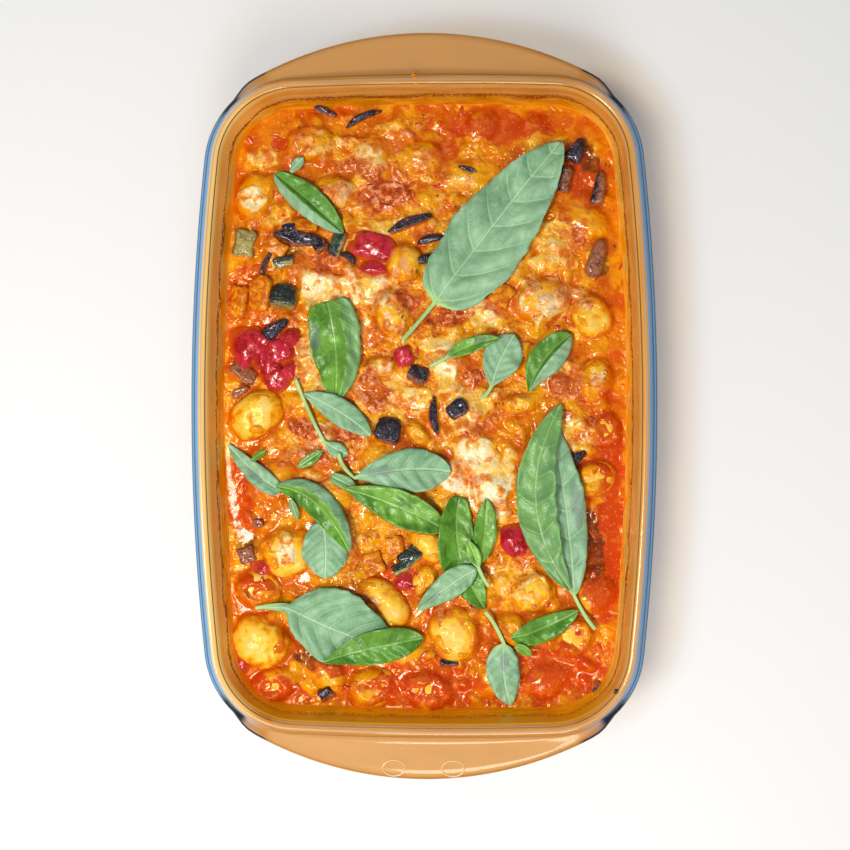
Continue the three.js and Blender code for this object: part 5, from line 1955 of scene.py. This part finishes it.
class BakePaint(Paint):
    """Tomato sauce with melted, browned cheese on it."""

    def __init__(self):
        super().__init__("sauce and melted cheese")
        self.cheese, self.brown = self.attributes("cheese", "brown")
        self.red, self.dark = self.attributes("red", "dark")
        self.swell, self.hollow, self.dome = self.attributes("swell", "hollow", "dome")
        self.side, self.edge = self.attributes("side", "edge")
        self.broad = self.noise(12)
        self.lumps = self.noise(6, distortion=0.4)
        self.bits = self.noise(2.8, distortion=0.3)
        self.flecks = self.noise(1.3)
        self.uneven = (self.lumps - 0.5) * 2.2 + (self.bits - 0.5) * 0.6
        self.reddened = (self.red + self.uneven * 0.4 - self.dome * 0.1).step(0.1, 0.65)
        self.spread = (self.cheese + self.uneven * 0.6).step(0.0, 0.7) * (1 - self.reddened * 0.7)
        self.richness = self.cheese + self.uneven * 0.5 + (self.dome - 0.4) * 0.35
        self.white = self.richness.step(0.72, 1.15)
        swirl = self.noise(8, detail=1, distortion=1.2)
        strands = abs(swirl - 0.5).step(0.05, 0.015) * self.cheese.step(0.22, 0.5)
        self.strands = strands * self.bits.step(0.42, 0.6)

    def sauce(self):
        """Orange to red, golden on the domes, with pink pulp, partly painted glints, and dark herbs
        and skins, partly painted shade round some vegetables.
        """
        colour = self.mix(self.broad.step(0.36, 0.64), (0.60, 0.11, 0.0), (0.76, 0.21, 0.0))
        crest = self.dome * 0.7 + self.swell * 0.3 + self.uneven * 0.3
        crest = (crest - self.hollow * 0.2 - self.red * 0.3).step(0.15, 0.85)
        colour = self.mix(crest * 0.9, colour, (0.85, 0.33, 0.001))
        crown = (self.dome + self.uneven * 0.35).step(0.7, 1.25)
        colour = self.mix(crown * 0.85, colour, (0.91, 0.50, 0.05))
        colour = self.mix(self.reddened * 0.9, colour, (0.58, 0.035, 0.002))
        # Pink pulp, also painted glints on the red sauce.
        pulp = self.bits.step(0.48, 0.66) * self.lumps.step(0.42, 0.58)
        colour = self.mix(pulp * (0.1 + self.reddened * 0.45), colour, (0.86, 0.15, 0.05))
        # Dark herbs and skins, also painted shade round some vegetables.
        murk = (self.dark + self.uneven * 0.6).step(0.3, 0.85)
        return self.mix(murk * 0.85, colour, (0.13, 0.022, 0.006))

    def melted(self):
        """Cheese from golden over cream to white, toasted in places."""
        golden = self.mix(self.lumps.step(0.42, 0.58), (0.79, 0.20, 0.001), (0.92, 0.49, 0.015))
        domed = (self.lumps * 0.5 + self.dome * 0.3).step(0.2, 0.5)
        cream = self.mix(domed, (0.90, 0.54, 0.07), (0.92, 0.73, 0.33))
        colour = self.mix(self.richness.step(0.38, 0.78), golden, cream)
        colour = self.mix(self.white, colour, (0.93, 0.84, 0.55))
        toast = self.lumps * 0.75 + self.bits * 0.25
        colour = self.mix(toast.step(0.52, 0.58) * 0.85, colour, (0.88, 0.35, 0.01))
        return self.mix(toast.step(0.58, 0.63) * 0.85, colour, (0.66, 0.12, 0.01))

    def drifted(self, colour):
        """Yellow and red drifts over it all, and strands of cheese."""
        drift = self.noise(15, detail=3, distortion=0.6)
        kept = 0.65 - self.white * 0.5
        yellow = drift.step(0.52, 0.64) * kept * (1 - self.red.step(0.0, 0.5))
        colour = self.mix(yellow, colour, (0.90, 0.42, 0.003))
        colour = self.mix(drift.step(0.48, 0.38) * kept, colour, (0.64, 0.07, 0.003))
        return self.mix(self.strands * 0.45, colour, (0.93, 0.70, 0.36))

    def browned(self, colour):
        """The crust, in an orange halo."""
        halo = (self.brown + self.uneven * 0.6).step(0.0, 0.5)
        colour = self.mix(halo * 0.6, colour, (0.82, 0.20, 0.006))
        patchy = (self.bits * 0.6 + self.lumps * 0.4).step(0.40, 0.60)
        crust = self.mix(patchy, (0.34, 0.028, 0.005), (0.64, 0.10, 0.018))
        # Pale pink specks in the crust, partly painted glints.
        specks = self.bits.step(0.52, 0.62) * self.broad.step(0.36, 0.56)
        crust = self.mix(specks * 0.9, crust, (0.88, 0.36, 0.19))
        scorch = (self.brown + self.uneven * 0.7 + (self.flecks - 0.5) * 0.2).step(0.25, 0.85)
        return self.mix(scorch * 0.92, colour, crust)

    def oiled_and_shaded(self, colour):
        """Red oil and painted shade in the hollows, and the finest flecks."""
        # Darker red in the hollows: pooled oil and painted shade.
        oil_and_shade = self.hollow.step(0.15, 1.2) * (1 - self.white * 0.8)
        colour = self.mix(oil_and_shade * 0.6, colour, (0.50, 0.06, 0.0))
        colour = self.mix(self.flecks.step(0.60, 0.72) * 0.35, colour, (0.95, 0.50, 0.12))
        return self.mix(self.flecks.step(0.40, 0.28) * 0.35, colour, (0.48, 0.05, 0.0))

    def pressed(self):
        """Pale discs of gnocchi behind sauce, where the food lies against the glass."""
        blobs = self.cells(26) + (self.lumps - 0.5) * 0.3
        colour = self.mix(blobs.step(0.5, 0.36), (0.84, 0.24, 0.02), (0.90, 0.44, 0.09))
        colour = self.mix(blobs.step(0.40, 0.25) * 0.8, colour, (0.93, 0.62, 0.20))
        return self.mix(self.lumps.step(0.56, 0.64) * 0.6, colour, (0.62, 0.07, 0.01))

    def relief(self):
        fine = self.bits * (0.35 + self.spread * 0.4 - self.white * 0.3)
        fine = fine + self.flecks * (0.06 + self.spread * 0.12)
        calm = 1 - self.reddened * 0.3 - self.edge * 0.35
        return (self.lumps * 1.7 + fine + self.strands * 0.12) * calm


def bake_paint():
    paint = BakePaint()
    colour = paint.mix(paint.spread, paint.sauce(), paint.melted())
    colour = paint.oiled_and_shaded(paint.browned(paint.drifted(colour)))
    wet = 0.42 + paint.reddened * 0.1 - paint.spread * 0.12
    surface = paint.principled(
        Base_Color=paint.mix(paint.side, colour, paint.pressed()),
        Roughness=0.12 + paint.spread * 0.08 + paint.edge * 0.12,
        Specular_IOR_Level=0.5,
        Specular_Tint=(1.0, 0.62, 0.22),
        Coat_Weight=wet * (1 - paint.edge * 0.8),
        Coat_Roughness=0.08,
        Subsurface_Weight=0.1,
        Subsurface_Radius=(1.0, 0.4, 0.15),
        Subsurface_Scale=GLOW_DEPTH * MM,
        Normal=paint.bump(paint.relief(), 0.8, 1.35),
    )
    return paint.finish(surface)


def gnocchi_paint():
    """Dough under golden oil, scorched where the cheese beside it is browned."""
    paint = Paint("baked gnocchi")
    stand, tone, brown = paint.attributes("stand", "tone", "brown")
    broad = paint.noise(8, distortion=0.5)
    lumps = paint.noise(3.6, distortion=0.4)
    flecks = paint.noise(1.3)
    uneven = (broad - 0.5) * 1.9 + (lumps - 0.5) * 1.1 + (flecks - 0.5) * 0.2
    up = stand + uneven - tone * 0.2
    golden = paint.mix(up.step(0.25, 0.65), (0.70, 0.15, 0.001), (0.87, 0.32, 0.003))
    golden = paint.mix(up.step(0.5, 0.9), golden, (0.91, 0.54, 0.045))
    golden = paint.mix(up.step(0.85, 1.3) * 0.85, golden, (0.93, 0.71, 0.20))
    stained = broad.step(0.52, 0.62) * (0.2 + tone * 0.5)
    golden = paint.mix(stained, golden, (0.80, 0.22, 0.008))
    floury = (lumps * 0.5 + broad * 0.5).step(0.46, 0.36) * tone * 0.5
    golden = paint.mix(floury, golden, (0.93, 0.78, 0.40))
    scorch = (brown + uneven * 0.7).step(0.35, 0.85)
    crust = paint.mix(flecks.step(0.42, 0.62), (0.38, 0.05, 0.01), (0.72, 0.20, 0.06))
    surface = paint.principled(
        Base_Color=paint.mix(scorch * 0.85, golden, crust),
        Roughness=0.16 + flecks * 0.16,
        Specular_IOR_Level=0.4,
        Specular_Tint=(1.0, 0.75, 0.35),
        Subsurface_Weight=0.12,
        Subsurface_Radius=(1.0, 0.6, 0.25),
        Subsurface_Scale=GLOW_DEPTH * MM,
        Normal=paint.bump(broad + lumps * 0.4 + flecks * 0.08, 0.5, 1.7),
    )
    return paint.finish(surface)


def sauced(paint, colour, lumps, cling=9.0):
    """Sauce that clings to the lower part of whatever lies in it."""
    above = paint.attribute("above")
    bare = (above + (lumps - 0.5) * cling).step(0.2, 2.4)
    return paint.mix(bare, (0.58, 0.09, 0.002), colour)


def tomato_paint():
    paint = Paint("cooked tomato")
    broad = paint.noise(6)
    lumps = paint.noise(2.6, detail=3, distortion=0.8)
    flecks = paint.noise(0.8, detail=3)
    colour = paint.mix(broad.step(0.4, 0.6), (0.36, 0.004, 0.008), (0.56, 0.02, 0.045))
    colour = paint.mix(lumps.step(0.54, 0.62) * 0.5, colour, (0.70, 0.07, 0.07))
    surface = paint.principled(
        Base_Color=sauced(paint, colour, lumps, 3.0),
        Roughness=0.12 + flecks * 0.1,
        Specular_Tint=(1.0, 0.6, 0.55),
        Coat_Weight=0.4,
        Coat_Roughness=0.06,
        Subsurface_Weight=0.1,
        Subsurface_Radius=(1.0, 0.2, 0.1),
        Subsurface_Scale=GLOW_DEPTH * MM,
        Normal=paint.bump(broad + lumps * 0.5 + flecks * 0.15, 0.5, 1.2),
    )
    return paint.finish(surface)


def skin_and_flesh_paint(name, skin_dark, skin_light, flesh_dark, flesh_light):
    """Cooked flesh with a dark skin on one side."""
    paint = Paint(name)
    skin, tone = paint.attributes("skin", "tone")
    broad = paint.noise(5)
    lumps = paint.noise(2.3, detail=4, roughness=0.6, distortion=0.8)
    flecks = paint.noise(0.8, detail=3)
    cooked = (lumps * 0.7 + broad * 0.3 + tone * 0.04).step(0.42, 0.60)
    flesh = paint.mix(cooked, flesh_dark, flesh_light)
    rind = paint.mix((flecks + broad - 0.5).step(0.46, 0.72), skin_dark, skin_light)
    shown = (skin + (lumps - 0.5) * 0.6 - (tone - 0.35) * 0.5).step(0.44, 0.56)
    colour = paint.mix(shown, flesh, rind)
    surface = paint.principled(
        Base_Color=sauced(paint, colour, lumps),
        Roughness=0.12 + flecks * 0.15,
        Coat_Weight=0.4,
        Coat_Roughness=0.06,
        Normal=paint.bump(broad * 0.5 + lumps + flecks * 0.3, 0.8, 1.4),
    )
    return paint.finish(surface)


def pepper_paint():
    paint = Paint("cooked pepper")
    lumps = paint.noise(3, detail=3, distortion=0.6)
    flecks = paint.noise(0.8, detail=3)
    colour = paint.mix(lumps.step(0.4, 0.65), (0.56, 0.12, 0.002), (0.84, 0.30, 0.008))
    surface = paint.principled(
        Base_Color=sauced(paint, colour, lumps),
        Roughness=0.12 + flecks * 0.12,
        Specular_Tint=(1.0, 0.8, 0.6),
        Normal=paint.bump(lumps + flecks * 0.3, 0.5, 1.0),
    )
    return paint.finish(surface)


class BasilPaint(Paint):
    """Fresh green above and pale green below, with ribs, glints and a few bruises, painted shade
    beside the veins below and painted light on one half of each face.
    """

    def __init__(self):
        super().__init__("basil")
        self.across, self.along = self.attributes("across", "along")
        self.edge, self.vein = self.attributes("edge", "vein")
        self.clouds = self.noise(9, detail=3)
        sheet = self.join(self.along * MM, self.across * MM)
        self.net = self.cells(2.6, sheet, feature="DISTANCE_TO_EDGE").step(0.07, 0.0)
        self.beside = abs((self.vein + 0.5).fraction() - 0.5)
        self.ribs = self.beside.step(0.06, 0.015) * self.edge.step(1.0, 0.55)
        self.lines = (self.ribs * 0.45 + abs(self.across).step(0.75, 0.3)).at_most(1.0)

    def top(self):
        colour = self.mix(self.attribute("bright"), (0.075, 0.26, 0.020), (0.26, 0.54, 0.07))
        colour = self.mix(self.clouds.step(0.42, 0.62) * 0.65, colour, (0.025, 0.13, 0.004))
        colour = self.mix(self.lines * 0.4, colour, (0.36, 0.58, 0.16))
        # One half of the upper face painted lighter: painted light.
        return self.mix(self.across.step(-2.5, 2.5) * 0.15, colour, (0.34, 0.60, 0.14))

    def underside(self):
        colour = self.mix(self.clouds.step(0.3, 0.7), (0.19, 0.38, 0.21), (0.31, 0.53, 0.32))
        # Painted shade beside the veins.
        shaded = self.beside.step(0.3, 0.08) - self.ribs
        colour = self.mix(shaded * 0.4, colour, (0.10, 0.27, 0.11))
        colour = self.mix(self.net * 0.25, colour, (0.40, 0.60, 0.36))
        colour = self.mix(self.lines * 0.6, colour, (0.50, 0.70, 0.42))
        # The other half of the underside painted lighter: painted light.
        return self.mix(self.across.step(2.5, -2.5) * 0.2, colour, (0.42, 0.64, 0.40))


def basil_paint():
    paint = BasilPaint()
    pale, stalk, bruise = paint.attributes("pale", "stalk", "bruise")
    grain = paint.noise(1.2, detail=3)
    puckers = paint.noise(4)
    colour = paint.mix(pale.step(0.3, 0.7), paint.top(), paint.underside())
    spoiled = (bruise + (paint.clouds - 0.5) * 0.9 + (grain - 0.5) * 0.3).step(0.45, 0.75)
    colour = paint.mix(spoiled * 0.6, colour, (0.16, 0.22, 0.20))
    ribbed = (1 - paint.lines) * 0.5 - paint.net * 0.04 + grain * 0.1
    height = ribbed + paint.clouds * 0.6 + puckers * (1.5 - pale * 0.5)
    surface = paint.principled(
        Base_Color=paint.mix(stalk, colour, (0.42, 0.66, 0.25)),
        Roughness=0.32 + pale * 0.16,
        Specular_IOR_Level=0.45,
        Specular_Tint=(0.95, 1.0, 0.8),
        Coat_Weight=(1 - pale) * 0.25,
        Coat_Roughness=0.25,
        Subsurface_Weight=0.08,
        Subsurface_Radius=(0.5, 1.0, 0.3),
        Subsurface_Scale=LEAF_GLOW_DEPTH * MM,
        Normal=paint.bump(height, 0.6, 1.1),
    )
    return paint.finish(surface)


# Floor, light and camera


def floor_piece():
    half = FLOOR_HALF_WIDTH
    points = [(-half, -half, 0), (half, -half, 0), (half, half, 0), (-half, half, 0)]
    floor = make_piece("floor", points, [(0, 1, 2, 3)], plain_paint("pale floor", FLOOR_COLOUR, 0.9))


def soft_light(name, place, size, watts):
    """A square soft box that shines on the food."""
    lamp = bpy.data.lights.new(name, "AREA")
    lamp.size = size * MM
    lamp.energy = watts
    lamp.color = LAMP_COLOUR
    holder = put_in_scene(name, lamp)
    holder.location = Vector(place) * MM
    aim = (Vector(LAMP_TARGET) - Vector(place)).normalized()
    holder.rotation_euler = aim.to_track_quat("-Z", "Y").to_euler()


def lighting():
    world = bpy.data.worlds.new("studio")
    bpy.context.scene.world = world
    world.use_nodes = True
    sky = world.node_tree.nodes["Background"]
    sky.inputs["Color"].default_value = SKY_COLOUR
    sky.inputs["Strength"].default_value = SKY_STRENGTH
    for lamp in LAMPS:
        soft_light(*lamp)


def look_down():
    """The camera stands over the dish, a little to its right."""
    aim = Vector(CAMERA_AIM) * MM
    place = Vector(CAMERA_PLACE) * MM
    data = bpy.data.cameras.new("camera")
    data.sensor_width = SENSOR_WIDTH
    data.lens = LENS_LENGTH
    camera = put_in_scene("camera", data)
    back = (place - aim).normalized()
    right = Vector((0, 1, 0)).cross(back).normalized()
    up = back.cross(right)
    turn = Matrix((right, up, back)).transposed()
    camera.matrix_world = Matrix.Translation(place) @ turn.to_4x4()
    bpy.context.scene.camera = camera


def light_paths():
    """Plain colours, and enough bounces for light to pass through the glass and the film."""
    bpy.context.scene.view_settings.view_transform = "Standard"
    cycles = bpy.context.scene.cycles
    cycles.transparent_max_bounces = 16
    cycles.max_bounces = 14
    cycles.transmission_bounces = 12
    cycles.caustics_reflective = False
    cycles.caustics_refractive = False


def build():
    dish_piece(glass_paint())
    oval_pieces(plain_paint("thick glass", (0.74, 0.47, 0.22), 0.12))
    scattered_pieces(bake_piece(bake_paint()))
    orange = plain_paint("orange sauce", (0.80, 0.24, 0.01), 0.2)
    spill_pieces(orange, plain_paint("burnt", (0.02, 0.012, 0.01), 0.4))
    gnocchi_piece(gnocchi_paint())
    aubergine = skin_and_flesh_paint("aubergine", *AUBERGINE_COLOURS)
    paints = {kind: aubergine for kind in ("dice", "wedge", "strip", "slice")}
    paints["tomato"] = tomato_paint()
    paints["courgette"] = skin_and_flesh_paint("courgette", *COURGETTE_COLOURS)
    paints["pepper"] = pepper_paint()
    vegetable_pieces(paints)
    basil_pieces(basil_paint())
    film_piece(film_paint())
    floor_piece()
    lighting()
    look_down()
    light_paths()


build()
